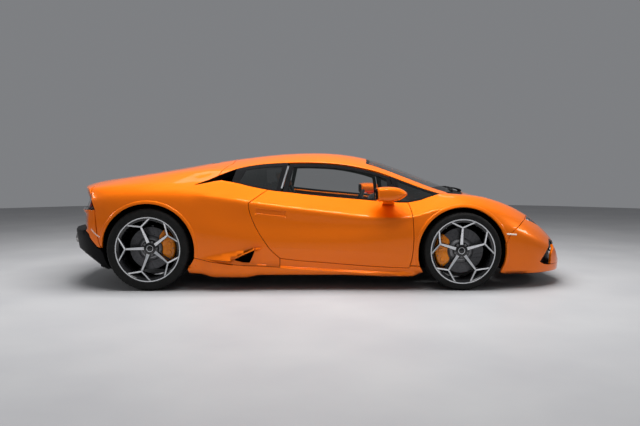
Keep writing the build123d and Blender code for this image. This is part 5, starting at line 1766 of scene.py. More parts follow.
def caliper(kind, tag, sg):
    x, half, z, R, W, flange, hub, rd, a0, (b0, b1) = WHEEL[kind]
    body = f"knuckle_{tag}" if kind == "front" else "body"
    sec = [(33, rd - 74), (39, rd - 66), (40, rd - 50), (40, rd + 10), (37, rd + 22), (28, rd + 30), (10, rd + 32.5), (-30, rd + 32.5), (-44, rd + 28), (-50, rd + 16), (-51, rd - 40), (-46, rd - 56), (-38, rd - 60),
           (-25, rd - 58), (-22, rd - 54), (-22, rd + 6), (-18, rd + 9), (20, rd + 9), (24, rd + 5), (24, rd - 54), (26, rd - 58)]
    n = 26
    verts, faces = [], []
    mid_r = rd - 10
    for i in range(n + 1):
        t_ = i / n
        a = math.radians(b0 + (b1 - b0) * t_)
        e = min(t_, 1 - t_) * 2
        k = 0.62 + 0.38 * min(1.0, (e / 0.22)) ** 0.6
        waist = 1.0 - 0.10 * math.exp(-((t_ - 0.5) / 0.06) ** 2)
        for w, r in sec:
            rr = mid_r + (r - mid_r) * k if r > rd + 8 or r < rd - 30 else r
            ww = w * (0.90 + 0.10 * k)
            if w > 30:
                ww = 24 + (w - 24) * waist * k
            verts.append((x + rr / 1000 * math.cos(a), half * sg + sg * ww / 1000, z + rr / 1000 * math.sin(a)))
    m = len(sec)
    for i in range(n):
        for k in range(m):
            faces.append((i * m + k, i * m + (k + 1) % m, (i + 1) * m + (k + 1) % m, (i + 1) * m + k))
    faces += [tuple(range(m)), tuple(range(n * m, (n + 1) * m))]
    core = make("caliper_core", verts, faces, M["caliper"], None, None, body, "caliper_paint")
    fix_normals(core)
    sharp(core, 38)
    bits = [core]
    for t_ in (0.2, 0.5, 0.8):
        a = math.radians(b0 + (b1 - b0) * t_)
        cr = (rd - 16) / 1000
        cc = (x + cr * math.cos(a), half * sg, z + cr * math.sin(a))
        bits.append(lathe("cap", [(36, 21), (43, 20), (45.5, 18), (46.2, 14), (45.2, 11.5), (45.2, 3), (45.6, 0.2)], cc, sg, [M["caliper"]], seg=28, body=body, slot="caliper_paint"))
    for t_ in (0.06, 0.35, 0.65, 0.94):
        a = math.radians(b0 + (b1 - b0) * t_)
        cr = (rd + 14) / 1000
        cc = (x + cr * math.cos(a), half * sg, z + cr * math.sin(a))
        bits.append(lathe("bolt", [(26, 5.5), (40.5, 5.5), (42, 4.5), (42, 2.5), (39, 2.2), (39, 0.2)], cc, sg, [M["steel"]], seg=12, body=body, slot="caliper_paint"))
    ob = join(f"brake_caliper_{kind}_{tag}", bits)
    if kind == "front":
        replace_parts(ob, f"caliper_front_{tag}")
    elif sg > 0:
        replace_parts(ob, "rear_calipers")


def liner(kind, tag, sg):
    x, z = (1.225, 0.321) if kind == "front" else (-1.395, 0.338)
    r = 381 if kind == "front" else 394
    yi = 500 if kind == "front" else 562
    seg = 60

    def warp(i, k, w, rr):
        if w > 700:
            th = math.radians(-24 + 228 * i / seg)
            q = HULL.ray(Vector((x + rr / 1000 * math.cos(th), 3.0, z + rr / 1000 * math.sin(th))), Vector((0, -1, 0)))[0]
            w = min(w, q.y * 1000 - 15)
        rib = 1.5 if (i // 3) % 2 and k in (1, 2) else 0.0
        return w, rr - rib
    prof = [(925, r + 3), (900, r), (700, r), (yi + 8, r), (yi, r - 8), (yi - 5, r - 10), (yi - 5, r + 5), (700, r + 5), (925, r + 5)]
    ob = lathe(f"arch_liner_{kind}_{tag}", prof, (x, 0.0, z), sg, [M["matt"]], seg=seg, body="body", slot="black_plastic", a0=-24, a1=204, close=True, warp=warp, replaces=("arch_liners",) if (kind == "front" and sg > 0) else ())
    # inner wall, flat along the bottom
    verts, faces = [], []
    zb = 0.128
    cols, rws = 24, 8
    for yy in (yi, yi - 4):
        for j in range(rws + 1):
            for i_ in range(cols + 1):
                xx = -1 + 2 * i_ / cols
                half_r = (r - 6) / 1000
                X_ = xx * half_r
                top_ = math.sqrt(max(0.0, half_r ** 2 - X_ ** 2))
                low_ = max(zb - z, -top_)
                Z_ = low_ + (top_ - low_) * j / rws
                rib = 1.5 * math.sin(i_ * 1.3) if 0 < i_ < cols and 0 < j < rws else 0
                verts.append((x + X_, sg * (yy + rib) / 1000, z + Z_))
    n_ = (cols + 1) * (rws + 1)
    for lay in (0, n_):
        for j in range(rws):
            for i_ in range(cols):
                a_ = lay + j * (cols + 1) + i_
                faces.append((a_, a_ + 1, a_ + cols + 2, a_ + cols + 1))
    wall_ = make(f"arch_wall_{kind}_{tag}", verts, faces, M["matt"], None, None, "body", "black_plastic")
    return ob


for kind in ("front", "rear"):
    for tag, sg in (("left", 1), ("right", -1)):
        rim(kind, tag, sg)
        tyre(kind, tag, sg)
        disc(kind, tag, sg)
        caliper(kind, tag, sg)
        liner(kind, tag, sg)

# =====================================================================================
# glass surrounds, pillars, intake pockets
# =====================================================================================
RAIL_IN = [(x, z - 40) for x, z in RAIL_S]
frame_hole = S([(-238, line_at([(q[0] / 1000, q[1]) for q in sorted(BELT_S)], -0.238) + 12)] + [(x, z + 12) for x, z in cut(BELT_S, -236, 640)] + [(612, 905)] + [(x, z) for x, z in cut(RAIL_IN, 604, -192)])
q_hole = S([(x, z + 12) for x, z in cut(BELT_S, -650, -338)] + [(-298, 1010)] + [(x, z + 8) for x, z in cut(RAIL_IN, -296, -600)])
pocket = S(cut(BELT_S, -716, -799)) + S([(-860, 912), (-915, 900), (-1019, 881), (-975, 897), (-915, 919), (-875, 938)]) + S(cut(RAIL_S, -835, -690))
fq_hole = S([(x, z + 14) for x, z in cut(BELT_S, 730, 985)] + [(x, z - 20) for x, z in cut(RAIL_S, 985, 705)])
SCREEN_IN = both(spline([(508, 0), (500, 290), (484, 424)], n=6) + spline([(508, 448), (640, 478), (860, 530), (1040, 586)], n=5) + spline([(1090, 578), (1150, 520), (1205, 330), (1226, 0)], n=6))
for tag, sg in (("left", 1), ("right", -1)):
    flip_ = (lambda L: L) if sg > 0 else mir
    side_proj = SIDE if sg > 0 else RSIDE
    panel("door_window_frame_" + tag, flip_(door_glass_outline), side_proj, M["satin"], body="door_" + tag, slot="black_plastic", holes=[flip_(frame_hole)], step=0.02, edge=0.010, thick=0.012, r=0.001, offset=-0.0015, back=True)
    panel("quarter_window_frame_" + tag, flip_(q_outline), side_proj, M["satin"], slot="black_plastic", holes=[flip_(q_hole)], step=0.02, edge=0.010, thick=0.012, r=0.001, offset=-0.0015, back=True)
    panel("front_side_window_frame_" + tag, flip_(fq_outline), side_proj, M["satin"], slot="black_plastic", holes=[flip_(fq_hole)], step=0.02, edge=0.008, thick=0.010, r=0.001, offset=-0.0015, back=True)
    strip = S([(-236 - 0.275 * (1050 - z), z) for z in (1040, 1010, 975, 940, 905, 870, 848)])
    ribbon("pillar_strip_" + tag, flip_(strip), 0.015, 0.0035, M["alloy"], body="door_" + tag, slot="black_plastic", lift=-0.001, bevel=0.3)
    well("side_intake_" + tag, flip_(pocket), side_proj, 0.050, M["mesh"], M["satin"])
    # dark inner cover behind the rear side glass
    panel("pillar_cover_" + tag, flip_(S(cut(BELT_S, -700, -520) + cut(RAIL_S, -520, -690))), side_proj, M["matt"], slot="cabin_leather", step=0.03, edge=0.02, offset=-0.045, wall=False, gap=0.0, r=0.0)
    well("sill_scoop_" + tag, flip_(S(SCOOP_HOLE)), side_proj, 0.075, M["matt"], M["satin"])
panel("windscreen_frit", P(both(SCREEN)), TOP, M["satin"], slot="black_plastic", holes=[P(SCREEN_IN)], step=0.03, edge=0.014, thick=0.004, r=0.0005, offset=-0.005)
panel("headliner", roof_outline, Polar(0.0, 0.55), M["matt"], slot="cabin_leather", step=0.04, edge=0.02, offset=-0.022, wall=False, gap=0.004, r=0.0)

# =====================================================================================
# mirrors
# =====================================================================================
POD = [(494, 852), (512, 861), (560, 866), (620, 866), (680, 856), (724, 836), (749, 808), (728, 782), (680, 757), (610, 746), (540, 746), (500, 754)]
POD_ROWS = [(-0.112, 0.42, 0.36), (-0.108, 0.56, 0.52), (-0.098, 0.70, 0.68), (-0.080, 0.83, 0.82), (-0.050, 0.94, 0.93), (-0.010, 1.0, 1.0), (0.035, 1.0, 1.0), (0.066, 0.95, 0.95), (0.085, 0.87, 0.86), (0.097, 0.76, 0.73), (0.103, 0.62, 0.56), (0.105, 0.45, 0.38)]
for tag, sg in (("left", 1), ("right", -1)):
    base = smooth_loop([(x / 1000, 0, z / 1000) for x, z in POD], 5)
    rear = 0.4935
    verts, faces = [], []
    for dy, kx, kz in POD_ROWS:
        for q in base:
            verts.append((rear + (q.x - rear) * kx + (1 - kx) * 0.06, sg * (0.968 + dy), 0.806 + (q.z - 0.806) * kz + dy * 0.02))
    m = len(base)
    for i in range(len(POD_ROWS) - 1):
        for k in range(m):
            faces.append((i * m + k, i * m + (k + 1) % m, (i + 1) * m + (k + 1) % m, (i + 1) * m + k))
    faces += [tuple(range(m)), tuple(range((len(POD_ROWS) - 1) * m, len(POD_ROWS) * m))]
    pod = make("mirror_pod_" + tag, verts, faces, M["paint"], None, None, "door_" + tag, "paint", ("mirror_" + tag,))
    fix_normals(pod)
    sharp(pod, 50)
    # housing opening at the back, with the glass set in it
    def rr(w, h, r, n=6):
        out = []
        for cx, cz, a_ in ((w - r, h - r, 0), (-w + r, h - r, 90), (-w + r, -h + r, 180), (w - r, -h + r, 270)):
            for k in range(n + 1):
                th = math.radians(a_ + 90 * k / n)
                out.append((cx + r * math.cos(th), cz + r * math.sin(th)))
        return out
    rings = []
    for x, w, h, r in ((0.512, 0.088, 0.044, 0.024), (0.4880, 0.089, 0.045, 0.025), (0.4866, 0.087, 0.043, 0.024), (0.4866, 0.083, 0.039, 0.022), (0.4905, 0.081, 0.037, 0.020), (0.4915, 0.078, 0.034, 0.020)):
        rings.append([Vector((x, sg * (0.966 + a_), 0.806 + b_)) for a_, b_ in rr(w, h, r)])
    verts = [q for L in rings for q in L]
    m = len(rings[0])
    faces, mi_ = [], []
    for i in range(len(rings) - 1):
        for k in range(m):
            faces.append((i * m + k, i * m + (k + 1) % m, (i + 1) * m + (k + 1) % m, (i + 1) * m + k))
            mi_.append(0)
    faces.append(tuple(range((len(rings) - 1) * m, len(rings) * m)))
    mi_.append(1)
    g = make("mirror_glass_" + tag, verts, faces, [M["satin"], M["mirror"]], mi_, None, "door_" + tag, "black_plastic")
    fix_normals(g)
    sharp(g, 25)
    # arm
    rows = []
    for t_, cx, cy, cz, lx, ly in ((0, 0.612, 0.836, 0.716, 0.056, 0.020), (0.2, 0.611, 0.850, 0.728, 0.048, 0.017), (0.5, 0.610, 0.870, 0.742, 0.042, 0.015), (0.8, 0.610, 0.888, 0.754, 0.042, 0.016), (1, 0.610, 0.900, 0.768, 0.050, 0.020)):
        rows.append([Vector((cx + lx * math.cos(2 * math.pi * k / 20), sg * (cy + ly * math.sin(2 * math.pi * k / 20)), cz)) for k in range(20)])
    verts = [q for L in rows for q in L]
    faces = [(i * 20 + k, i * 20 + (k + 1) % 20, (i + 1) * 20 + (k + 1) % 20, (i + 1) * 20 + k) for i in range(len(rows) - 1) for k in range(20)] + [tuple(range(20)), tuple(range(80, 100))]
    arm_ = make("mirror_arm_" + tag, verts, faces, M["paint"], None, None, "door_" + tag, "paint")
    fix_normals(arm_)

# =====================================================================================
# wipers
# =====================================================================================
def over(x, y, up=0.0):
    q = p(x, y)
    return q + HULL.near(q)[1] * up


wip1 = [over(x, y, 0.009) for x, y in spline([(1236, 560), (1262, 330), (1270, 100), (1268, -60)], n=5)]
wip2 = [over(x, y, 0.009) for x, y in spline([(1250, -100), (1240, -330), (1205, -560)], n=5)]
for k, w_ in enumerate((wip1, wip2)):
    ribbon(f"wiper_blade_{k + 1}", w_, 0.012, 0.012, M["satin"], slot="black_plastic", lift=-0.006)
    ribbon(f"wiper_spine_{k + 1}", w_[2:-2], 0.020, 0.005, M["satin"], slot="black_plastic", lift=0.004)
for k, (a_, b_) in enumerate((((1330, 90), (1262, 300)), ((1322, -330), (1236, -340)))):
    A_, B_ = over(*a_, 0.014), over(*b_, 0.016)
    tube(f"wiper_arm_{k + 1}", [A_ + (B_ - A_) * t_ / 8 + Vector((0, 0, 0.005 * math.sin(math.pi * t_ / 8))) for t_ in range(9)], 0.008, M["satin"], slot="black_plastic", seg=8, radii=[0.012, 0.011, 0.009, 0.008, 0.007, 0.007, 0.006, 0.006, 0.006])
    lathe_c = over(*a_, 0.001)
    tube(f"wiper_pivot_{k + 1}", [lathe_c, lathe_c + Vector((0, 0, 0.010)), lathe_c + Vector((0, 0, 0.018)), lathe_c + Vector((0, 0, 0.022))], 0.016, M["satin"], slot="black_plastic", seg=16, radii=[0.018, 0.018, 0.016, 0.008])


# =====================================================================================
# exhaust tips
# =====================================================================================
def turned_x(name, prof, c, mats, mi=None, seg=40, body="body", slot=None, replaces=()):
    verts, faces, mids = [], [], []
    m = len(prof)
    for i in range(seg):
        th = 2 * math.pi * i / seg
        for xx, r in prof:
            verts.append((c[0] + xx / 1000, c[1] + r / 1000 * math.cos(th), c[2] + r / 1000 * math.sin(th)))
    for i in range(seg):
        j = (i + 1) % seg
        for k in range(m - 1):
            faces.append((i * m + k, i * m + k + 1, j * m + k + 1, j * m + k))
            mids.append(mi[k] if mi else 0)
    ob = make(name, verts, faces, mats, mids if mi else None, None, body, slot, replaces)
    fix_normals(ob)
    sharp(ob, 40)
    return ob


tips = []
for y in (-0.434, -0.338, 0.338, 0.434):
    tips.append(turned_x("tip", [(-1995, 30), (-1998, 40), (-2140, 42), (-2150, 43.5), (-2155, 42.5), (-2155.5, 40), (-2150, 37.5), (-2090, 36.5), (-2060, 34), (-2058, 20), (-2058, 0.5)], (0, y, 0.398), [M["chrome"], M["matt"]], [0, 0, 0, 0, 0, 0, 0, 0, 1, 1]))
tip_ob = join("exhaust_tips", tips)

# =====================================================================================
# cabin
# =====================================================================================
def soft_box(name, lo, hi, mat, body="body", slot="cabin_leather", bulge=0.02, seg=10, shear=None, squash_=3.2):
    """Cushion: a rounded form, fuller in the middle of each face."""
    lo, hi = Vector(lo), Vector(hi)
    c, h = (lo + hi) / 2, (hi - lo) / 2
    bm = bmesh.new()
    bmesh.ops.create_cube(bm, size=2.0)
    bmesh.ops.subdivide_edges(bm, edges=bm.edges[:], cuts=seg, use_grid_fill=True)
    for v in bm.verts:
        q = v.co.copy()
        L = (abs(q.x) ** squash_ + abs(q.y) ** squash_ + abs(q.z) ** squash_) ** (1 / squash_)
        mx = max(abs(q.x), abs(q.y), abs(q.z))
        q = q * (mx / L) if L else q
        q = Vector((c.x + q.x * h.x, c.y + q.y * h.y, c.z + q.z * h.z))
        if shear:
            q = shear(q)
        v.co = q
    me = bpy.data.meshes.new(name)
    bm.to_mesh(me)
    bm.free()
    me.materials.append(mat)
    me.polygons.foreach_set("use_smooth", [True] * len(me.polygons))
    ob = bpy.data.objects.new(name, me)
    bpy.context.scene.collection.objects.link(ob)
    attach(ob, body)
    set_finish(ob, slot)
    return ob


def lean(q):
    """Backrest leans back from its foot."""
    k = (q.z - 0.36) / 0.60
    return Vector((q.x - 0.205 * max(0, k) - 0.0, q.y, q.z))


for tag, sg in (("left", 1), ("right", -1)):
    cy = 0.370 * sg
    def Y(a_, b_):
        return min(cy + a_, cy + b_), max(cy + a_, cy + b_)
    # hard shell behind and below
    shell = soft_box(f"seat_shell_{tag}", (-0.215, cy - 0.232, 0.215), (-0.135, cy + 0.232, 0.900), M["black"], seg=12, shear=lambda q: Vector((lean(q).x - 0.012, cy + (q.y - cy) * (1.0 - 0.42 * max(0.0, (q.z - 0.70) / 0.20)), q.z)), squash_=6)
    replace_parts(shell, "seats") if sg > 0 else None
    soft_box(f"seat_base_{tag}", (-0.18, cy - 0.215, 0.186), (0.350, cy + 0.215, 0.285), M["satin"], seg=8, squash_=8)
    c1 = soft_box(f"seat_cushion_{tag}", (-0.150, cy - 0.150, 0.270), (0.385, cy + 0.150, 0.368), M["leather"], seg=12, shear=lambda q: Vector((q.x, q.y, q.z + 0.05 * (q.x + 0.1))), squash_=4)
    b1 = soft_box(f"seat_back_{tag}", (-0.150, cy - 0.150, 0.340), (-0.065, cy + 0.150, 0.870), M["leather"], seg=12, shear=lambda q: Vector((lean(q).x, cy + (q.y - cy) * (1.0 - 0.30 * max(0.0, (q.z - 0.70) / 0.17)), q.z)), squash_=4)
    for s2 in (1, -1):
        o1 = cy + s2 * 0.190
        w1 = soft_box(f"seat_bolster_{'a' if s2 > 0 else 'b'}_{tag}", (-0.150, o1 - 0.048, 0.262), (0.375, o1 + 0.048, 0.398), M["leather"], seg=10, shear=lambda q: Vector((q.x, q.y, q.z + 0.05 * (q.x + 0.1))), squash_=3.4)
        w2 = soft_box(f"seat_wing_{'a' if s2 > 0 else 'b'}_{tag}", (-0.160, o1 - 0.046, 0.350), (-0.020, o1 + 0.046, 0.760), M["leather"], seg=10, shear=lambda q: lean(q), squash_=3.4)
    hd = soft_box(f"seat_headrest_{tag}", (-0.160, cy - 0.105, 0.845), (-0.070, cy + 0.105, 0.985), M["orange_hide"], seg=10, shear=lambda q: lean(q), squash_=4)
    for k in (-1, 1):
        pts_ = [Vector((-0.062, cy + k * 0.070, z_)) for z_ in (0.40, 0.50, 0.60, 0.70, 0.78)]
        pts_ = [lean(q) + Vector((0.002, 0, 0)) for q in pts_]
        tube(f"seat_piping_{'a' if k > 0 else 'b'}_{tag}", pts_, 0.0045, M["orange_hide"], slot="cabin_leather", seg=8)
    # belt
    tube(f"belt_guide_{tag}", [Vector((-0.56, sg * 0.585, 0.80)), Vector((-0.545, sg * 0.580, 0.84)), Vector((-0.52, sg * 0.570, 0.86))], 0.016, M["satin"], slot="black_plastic", seg=10)

# dashboard: a long padded top with a binnacle, over a lower face
def swept(name, rows, mats, body="body", slot="cabin_leather", replaces=(), angle=50, cap=True):
    m = len(rows[0])
    verts = [q for L in rows for q in L]
    faces = [(i * m + k, i * m + (k + 1) % m, (i + 1) * m + (k + 1) % m, (i + 1) * m + k) for i in range(len(rows) - 1) for k in range(m)]
    if cap:
        faces += [tuple(range(m)), tuple(range((len(rows) - 1) * m, len(rows) * m))]
    ob = make(name, verts, faces, mats, None, None, body, slot, replaces)
    fix_normals(ob)
    sharp(ob, angle)
    return ob


DASH = [(0.575, 0.580), (0.568, 0.640), (0.590, 0.688), (0.650, 0.724), (0.740, 0.738), (0.820, 0.730), (0.880, 0.712), (0.880, 0.600), (0.820, 0.520), (0.720, 0.450), (0.700, 0.500), (0.640, 0.550)]
rows = []
for i in range(41):
    y = -0.690 + 1.380 * i / 40
    e = 1 - max(0.0, (abs(y) - 0.60) / 0.09) * 0.05
    bin_ = math.exp(-((y - 0.37) / 0.135) ** 4)
    mid_ = math.exp(-(y / 0.16) ** 4)
    L = []
    for x, z in DASH:
        dx = -0.045 * bin_ * (1 if x < 0.66 and z > 0.60 else 0) + 0.030 * mid_ * (1 if x < 0.66 and z > 0.56 else 0)
        dz = 0.048 * bin_ * (1 if (z > 0.68 and x < 0.84) else 0)
        L.append(Vector((0.575 + (x - 0.575) * e + dx, y, 0.60 + (z - 0.60) * e + dz)))
    rows.append(smooth_loop(L, 3))
swept("dash_shell", rows, M["leather"], replaces=("dashboard",), angle=60)
bx = block("instrument_display", (0.536, 0.245, 0.640), (0.552, 0.495, 0.725), M["black"], slot="black_plastic", bevel=0.006, shear=lambda c: Vector((c.x + (c.z - 0.64) * 0.42, c.y, c.z)))
for k, (y, w_) in enumerate(((-0.52, 0.055), (0.075, 0.045), (-0.075, 0.045), (0.615, 0.035))):
    o = block(f"air_vent_{k + 1}", (0.560, y - w_, 0.612), (0.590, y + w_, 0.668), M["satin"], slot="black_plastic", bevel=0.010, shear=lambda c: Vector((c.x + (c.z - 0.61) * 0.30, c.y, c.z)))
    for j in range(3):
        zz = 0.626 + 0.014 * j
        tube(f"air_vent_{k + 1}_slat_{j + 1}", [Vector((0.5565 + (zz - 0.61) * 0.30, y - w_ * 0.8, zz)), Vector((0.5565 + (zz - 0.61) * 0.30, y + w_ * 0.8, zz))], 0.003, M["steel"], slot="black_plastic", seg=6)
# console
rows = []
CON = [(-0.105, 0.17), (-0.112, 0.34), (-0.100, 0.385), (-0.07, 0.398), (0.07, 0.398), (0.100, 0.385), (0.112, 0.34), (0.105, 0.17)]
for i in range(31):
    x = -0.560 + 1.300 * i / 30
    lift_ = 0.21 * sstep(0.30, 0.62, x) + 0.012 * math.sin((x + 0.56) * 4)
    wide = 1.0 - 0.10 * sstep(-0.2, 0.35, x)
    rows.append([Vector((x, y * wide, z + (lift_ if z > 0.25 else 0))) for y, z in CON])
swept("console_shell", rows, M["leather"], angle=35)
scr = block("console_display", (0.395, -0.085, 0.000), (0.560, 0.085, 0.012), M["black"], slot="black_plastic", bevel=0.005, shear=lambda c: Vector((c.x, c.y, c.z + 0.468 + (c.x - 0.395) * 0.80)))
for k in range(5):
    y = -0.06 + 0.03 * k
    tube(f"console_toggle_{k + 1}", [Vector((0.345, y, 0.436)), Vector((0.335, y, 0.450)), Vector((0.330, y, 0.456))], 0.008, M["alloy"], slot="black_plastic", seg=10)
block("start_button_hood", (0.215, -0.030, 0.412), (0.285, 0.030, 0.436), M["caliper"], slot="black_plastic", bevel=0.010)
block("selector_plate", (0.030, -0.055, 0.400), (0.180, 0.055, 0.4135), M["alloy"], slot="black_plastic", bevel=0.005)
block("cabin_armrest", (-0.330, -0.070, 0.395), (-0.060, 0.070, 0.430), M["leather"], slot="cabin_leather", bevel=0.014, seg=4)
for y, w_ in ((0.28, 0.030), (0.37, 0.030), (0.46, 0.022)):
    block(f"pedal_{int(y * 100)}", (0.760, y - w_, 0.240), (0.772, y + w_, 0.330), M["alloy"], slot="black_plastic", bevel=0.006, shear=lambda c: Vector((c.x + (c.z - 0.24) * 0.5, c.y, c.z)))

# steering wheel, in its own tilted plane
SW = Vector((0.418, 0.370, 0.640))
sw_n = Vector((-math.cos(math.radians(24)), 0, math.sin(math.radians(24))))
sw_x = Vector((0, 1, 0))
sw_y = sw_n.cross(sw_x)


def swp(a_, b_, c_=0.0):
    return SW + sw_x * a_ + sw_y * b_ + sw_n * c_


up_sign = 1 if sw_y.z > 0 else -1
rim_pts, rim_r = [], []
for k in range(72):
    th = 2 * math.pi * k / 72
    a_, b_ = 0.176 * math.sin(th), 0.172 * math.cos(th)
    b_ = max(b_, -0.146)
    rim_pts.append(swp(a_, b_ * up_sign))
    rim_r.append(0.0165 if abs(a_) > 0.12 and abs(b_) < 0.09 else 0.0145)
rim_o = tube("wheel_rim", rim_pts, 0.0145, M["leather"], body="steering_wheel", slot="cabin_leather", seg=14, radii=rim_r, closed=True)
bits = [rim_o]
for a0_, a1_, w0_ in ((0.05, 0.163, 0.020), (-0.05, -0.163, 0.020)):
    bits.append(tube("spoke", [swp(a0_ + (a1_ - a0_) * t_ / 6, 0.012 * up_sign * (1 - t_ / 6), -0.006 + 0.002 * t_ / 6) for t_ in range(7)], w0_, M["satin"], body="steering_wheel", slot="black_plastic", seg=12, radii=[0.030, 0.026, 0.023, 0.021, 0.020, 0.020, 0.022], flat=0.32, up=sw_n))
for k in (-1, 1):
    bits.append(tube("spoke", [swp(k * (0.022 + 0.018 * t_ / 5), up_sign * (-0.045 - 0.095 * t_ / 5), -0.006) for t_ in range(6)], 0.011, M["alloy"], body="steering_wheel", slot="black_plastic", seg=10, radii=[0.013, 0.012, 0.011, 0.011, 0.011, 0.013], flat=0.4, up=sw_n))
hub_rows = []
for hh, kk in ((-0.030, 0.90), (-0.012, 1.0), (0.006, 1.0), (0.016, 0.93), (0.022, 0.76), (0.024, 0.45), (0.0245, 0.05)):
    L = []
    for k in range(36):
        th = 2 * math.pi * k / 36
        r_ = 0.058 * (1 + 0.10 * math.cos(3 * th + math.pi / 2 * up_sign)) * kk
        L.append(swp(r_ * math.cos(th), r_ * math.sin(th), hh))
    hub_rows.append(L)
bits.append(swept("hub", hub_rows, M["leather"], body="steering_wheel", slot="cabin_leather"))
for k in (-1, 1):
    bits.append(tube("paddle", [swp(k * 0.085, up_sign * (-0.02 + 0.13 * t_ / 6), -0.034 - 0.004 * math.sin(t_)) for t_ in range(7)], 0.018, M["steel"], body="steering_wheel", slot="black_plastic", seg=10, radii=[0.012, 0.018, 0.020, 0.021, 0.020, 0.017, 0.010], flat=0.2, up=sw_n))
mark_o = tube("marker", [swp(0.0, up_sign * 0.172) + sw_x * (0.011 * (t_ - 2)) for t_ in range(5)], 0.0152, M["orange_hide"], body="steering_wheel", slot="cabin_leather", seg=14)
bits.append(mark_o)
sw_ob = join("steering_wheel_assembly", bits)
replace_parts(sw_ob, "steering_wheel")

# door trims
DOOR_TRIM = [(-380, 790), (-500, 715), (-500, 660), (-470, 585), (-435, 512), (-385, 440), (-325, 365), (-270, 315), (-120, 295), (34, 282), (284, 261), (534, 245), (735, 237), (752, 300), (764, 385), (764, 505), (757, 620), (740, 680), (459, 700), (289, 715), (120, 730), (-50, 748), (-220, 769)]
trim_l = panel("door_trim_left", S(DOOR_TRIM), SIDE, M["leather"], body="door_left", slot="cabin_leather", step=0.03, edge=0.012, thick=0.046, r=0.006, offset=-0.022, back=True)
trim_r = mirror_of(trim_l, "door_trim_right", "door_right")
for tag, sg in (("left", 1), ("right", -1)):
    flip_ = (lambda L: L) if sg > 0 else mir
    def inner(x, z, d=0.0):
        q, n_ = HULL.ray(Vector((x / 1000, 3.0, z / 1000)), Vector((0, -1, 0)))
        return Vector((q.x, q.y - 0.068 - d, q.z))
    arm_pts = [inner(x, z, 0.012) for x, z in spline([(560, 560), (380, 520), (150, 500), (-60, 505), (-200, 530)], n=5)]
    tube(f"door_armrest_{tag}", flip_(arm_pts), 0.026, M["leather"], body="door_" + tag, slot="cabin_leather", seg=12, radii=[0.010] + [0.024] * (len(arm_pts) - 2) + [0.010], flat=1.2)
    acc = [inner(x, z, 0.002) for x, z in spline([(700, 640), (420, 620), (150, 640), (-120, 690), (-330, 730)], n=5)]
    tube(f"door_accent_{tag}", flip_(acc), 0.006, M["orange_hide"], body="door_" + tag, slot="cabin_leather", seg=8)
    pul = [inner(x, z, d) for x, z, d in ((-60, 600, 0.0), (-80, 600, 0.018), (-150, 604, 0.022), (-220, 612, 0.018), (-240, 614, 0.0))]
    tube(f"door_pull_{tag}", flip_(pul), 0.009, M["alloy"], body="door_" + tag, slot="black_plastic", seg=10)

# =====================================================================================
# finishes of the parts shown as built in the frame
# =====================================================================================
FINISH = {"undertray": "under_tray", "tub": "carpet", "front_suspension": "steel", "rear_suspension": "steel", "knuckle_left": "alloy", "knuckle_right": "alloy", "rear_uprights": "alloy",
          "drive_shafts": "steel", "gearbox": "alloy", "engine": "engine_paint", "jacking_pads": "satin", "luggage_bay": "carpet", "steering_column": "steel", "rear_window": "glass_dark", "exhaust": "exhaust_steel",
          "front_splitter": "satin"}
M["under_tray"] = mat_simple("floor_tray_composite", (0.016, 0.016, 0.017), 0.62, grain=(220.0, 0.4, 0.0008), vary=0.3)
M["engine_paint"] = mat_simple("engine_casting", (0.16, 0.16, 0.165), 0.55, metal=0.6, grain=(240.0, 0.5, 0.0008), vary=0.3)
M["exhaust_steel"] = mat_simple("exhaust_can", (0.34, 0.32, 0.29), 0.33, metal=0.95, grain=(120.0, 0.15, 0.0005), vary=0.3)
for ob in list(bpy.context.scene.objects):
    if "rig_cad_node" in ob and not ob.hide_render and ob.type == "MESH":
        key = ob.get("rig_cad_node") if isinstance(ob.get("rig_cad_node"), str) else ob.name
        fin = FINISH.get(key) or FINISH.get(ob.name) or "satin"
        for sl in ob.material_slots:
            sl.link = "OBJECT"
            sl.material = M[fin]
# =====================================================================================
# camera, light, floor
# =====================================================================================
cam_data = bpy.data.cameras.new("camera")
cam = bpy.data.objects.new("camera", cam_data)
bpy.context.scene.collection.objects.link(cam)
cam_data.sensor_width = 36.0
cam_data.lens = 36.2
cam.location = (-0.0075, -6.255, 0.993)
cam.rotation_euler = (math.radians(90 - 3.70), 0, -math.radians(0.45))
cam_data.clip_end = 100
bpy.context.scene.camera = cam


def stage_piece(ob):
    bpy.context.scene.collection.objects.link(ob)
    return ob


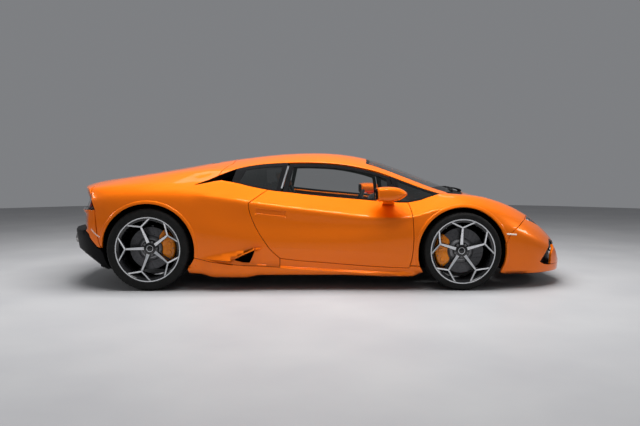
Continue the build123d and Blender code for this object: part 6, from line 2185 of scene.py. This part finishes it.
def floor():
    me = bpy.data.meshes.new("floor")
    R = 14.0
    n = 48
    verts = [(0, 0, 0)] + [(R * math.cos(2 * math.pi * i / n), R * math.sin(2 * math.pi * i / n), 0) for i in range(n)]
    me.from_pydata(verts, [], [(0, 1 + i, 1 + (i + 1) % n) for i in range(n)])
    m, nt, sh = new_mat("floor_pale")
    co = coords(nt)
    nz = node(nt, "ShaderNodeTexNoise", Scale=1.2, Detail=6.0)
    nt.links.new(co, nz.inputs["Vector"])
    r = ramp(nt, nz.outputs["Fac"], [(0.3, (0.30, 0.30, 0.31, 1)), (0.7, (0.34, 0.34, 0.345, 1))])
    nt.links.new(r.outputs[0], sh.inputs["Base Color"])
    sh.inputs["Roughness"].default_value = 0.55
    me.materials.append(m)
    ob = bpy.data.objects.new("floor", me)
    stage_piece(ob)


floor()
world = bpy.context.scene.world or bpy.data.worlds.new("world")
bpy.context.scene.world = world
world.use_nodes = True
wn = world.node_tree
for nn in list(wn.nodes):
    wn.nodes.remove(nn)
wo = wn.nodes.new("ShaderNodeOutputWorld")
bg = wn.nodes.new("ShaderNodeBackground")
bg.inputs[0].default_value = (0.80, 0.82, 0.86, 1)
bg.inputs[1].default_value = 0.26
wn.links.new(bg.outputs[0], wo.inputs[0])


def area(name, loc, target, size, power, color=(1, 1, 1)):
    d = bpy.data.lights.new(name, "AREA")
    d.shape = "RECTANGLE"
    d.size, d.size_y = size
    d.energy = power
    d.color = color
    ob = bpy.data.objects.new(name, d)
    ob.location = loc
    ob.rotation_euler = (Vector(target) - Vector(loc)).to_track_quat("-Z", "Y").to_euler()
    bpy.context.scene.collection.objects.link(ob)
    return ob


fill = area("top_fill", (0.0, -0.5, 5.2), (0, 0, 0.5), (5.5, 3.0), 680)
fill.visible_glossy = False
area("strip_near", (0.2, -2.85, 4.1), (0.2, -0.9, 0.78), (1.8, 0.5), 45)
area("strip_far", (0.0, 1.6, 4.6), (0, 0, 0.6), (4.0, 0.70), 14)
side = area("near_side", (0.3, -6.5, 2.4), (0, 0, 0.5), (5.0, 1.6), 12)
side.visible_glossy = False
area("front", (6.0, -1.5, 2.6), (1.5, 0, 0.5), (1.6, 0.5), 30)
area("rear", (-6.0, -1.0, 2.6), (-1.5, 0, 0.5), (1.6, 0.5), 30)
bpy.context.scene.view_settings.view_transform = "Standard"

for ob in bpy.data.objects:
    if "vn" in ob:
        del ob["vn"]
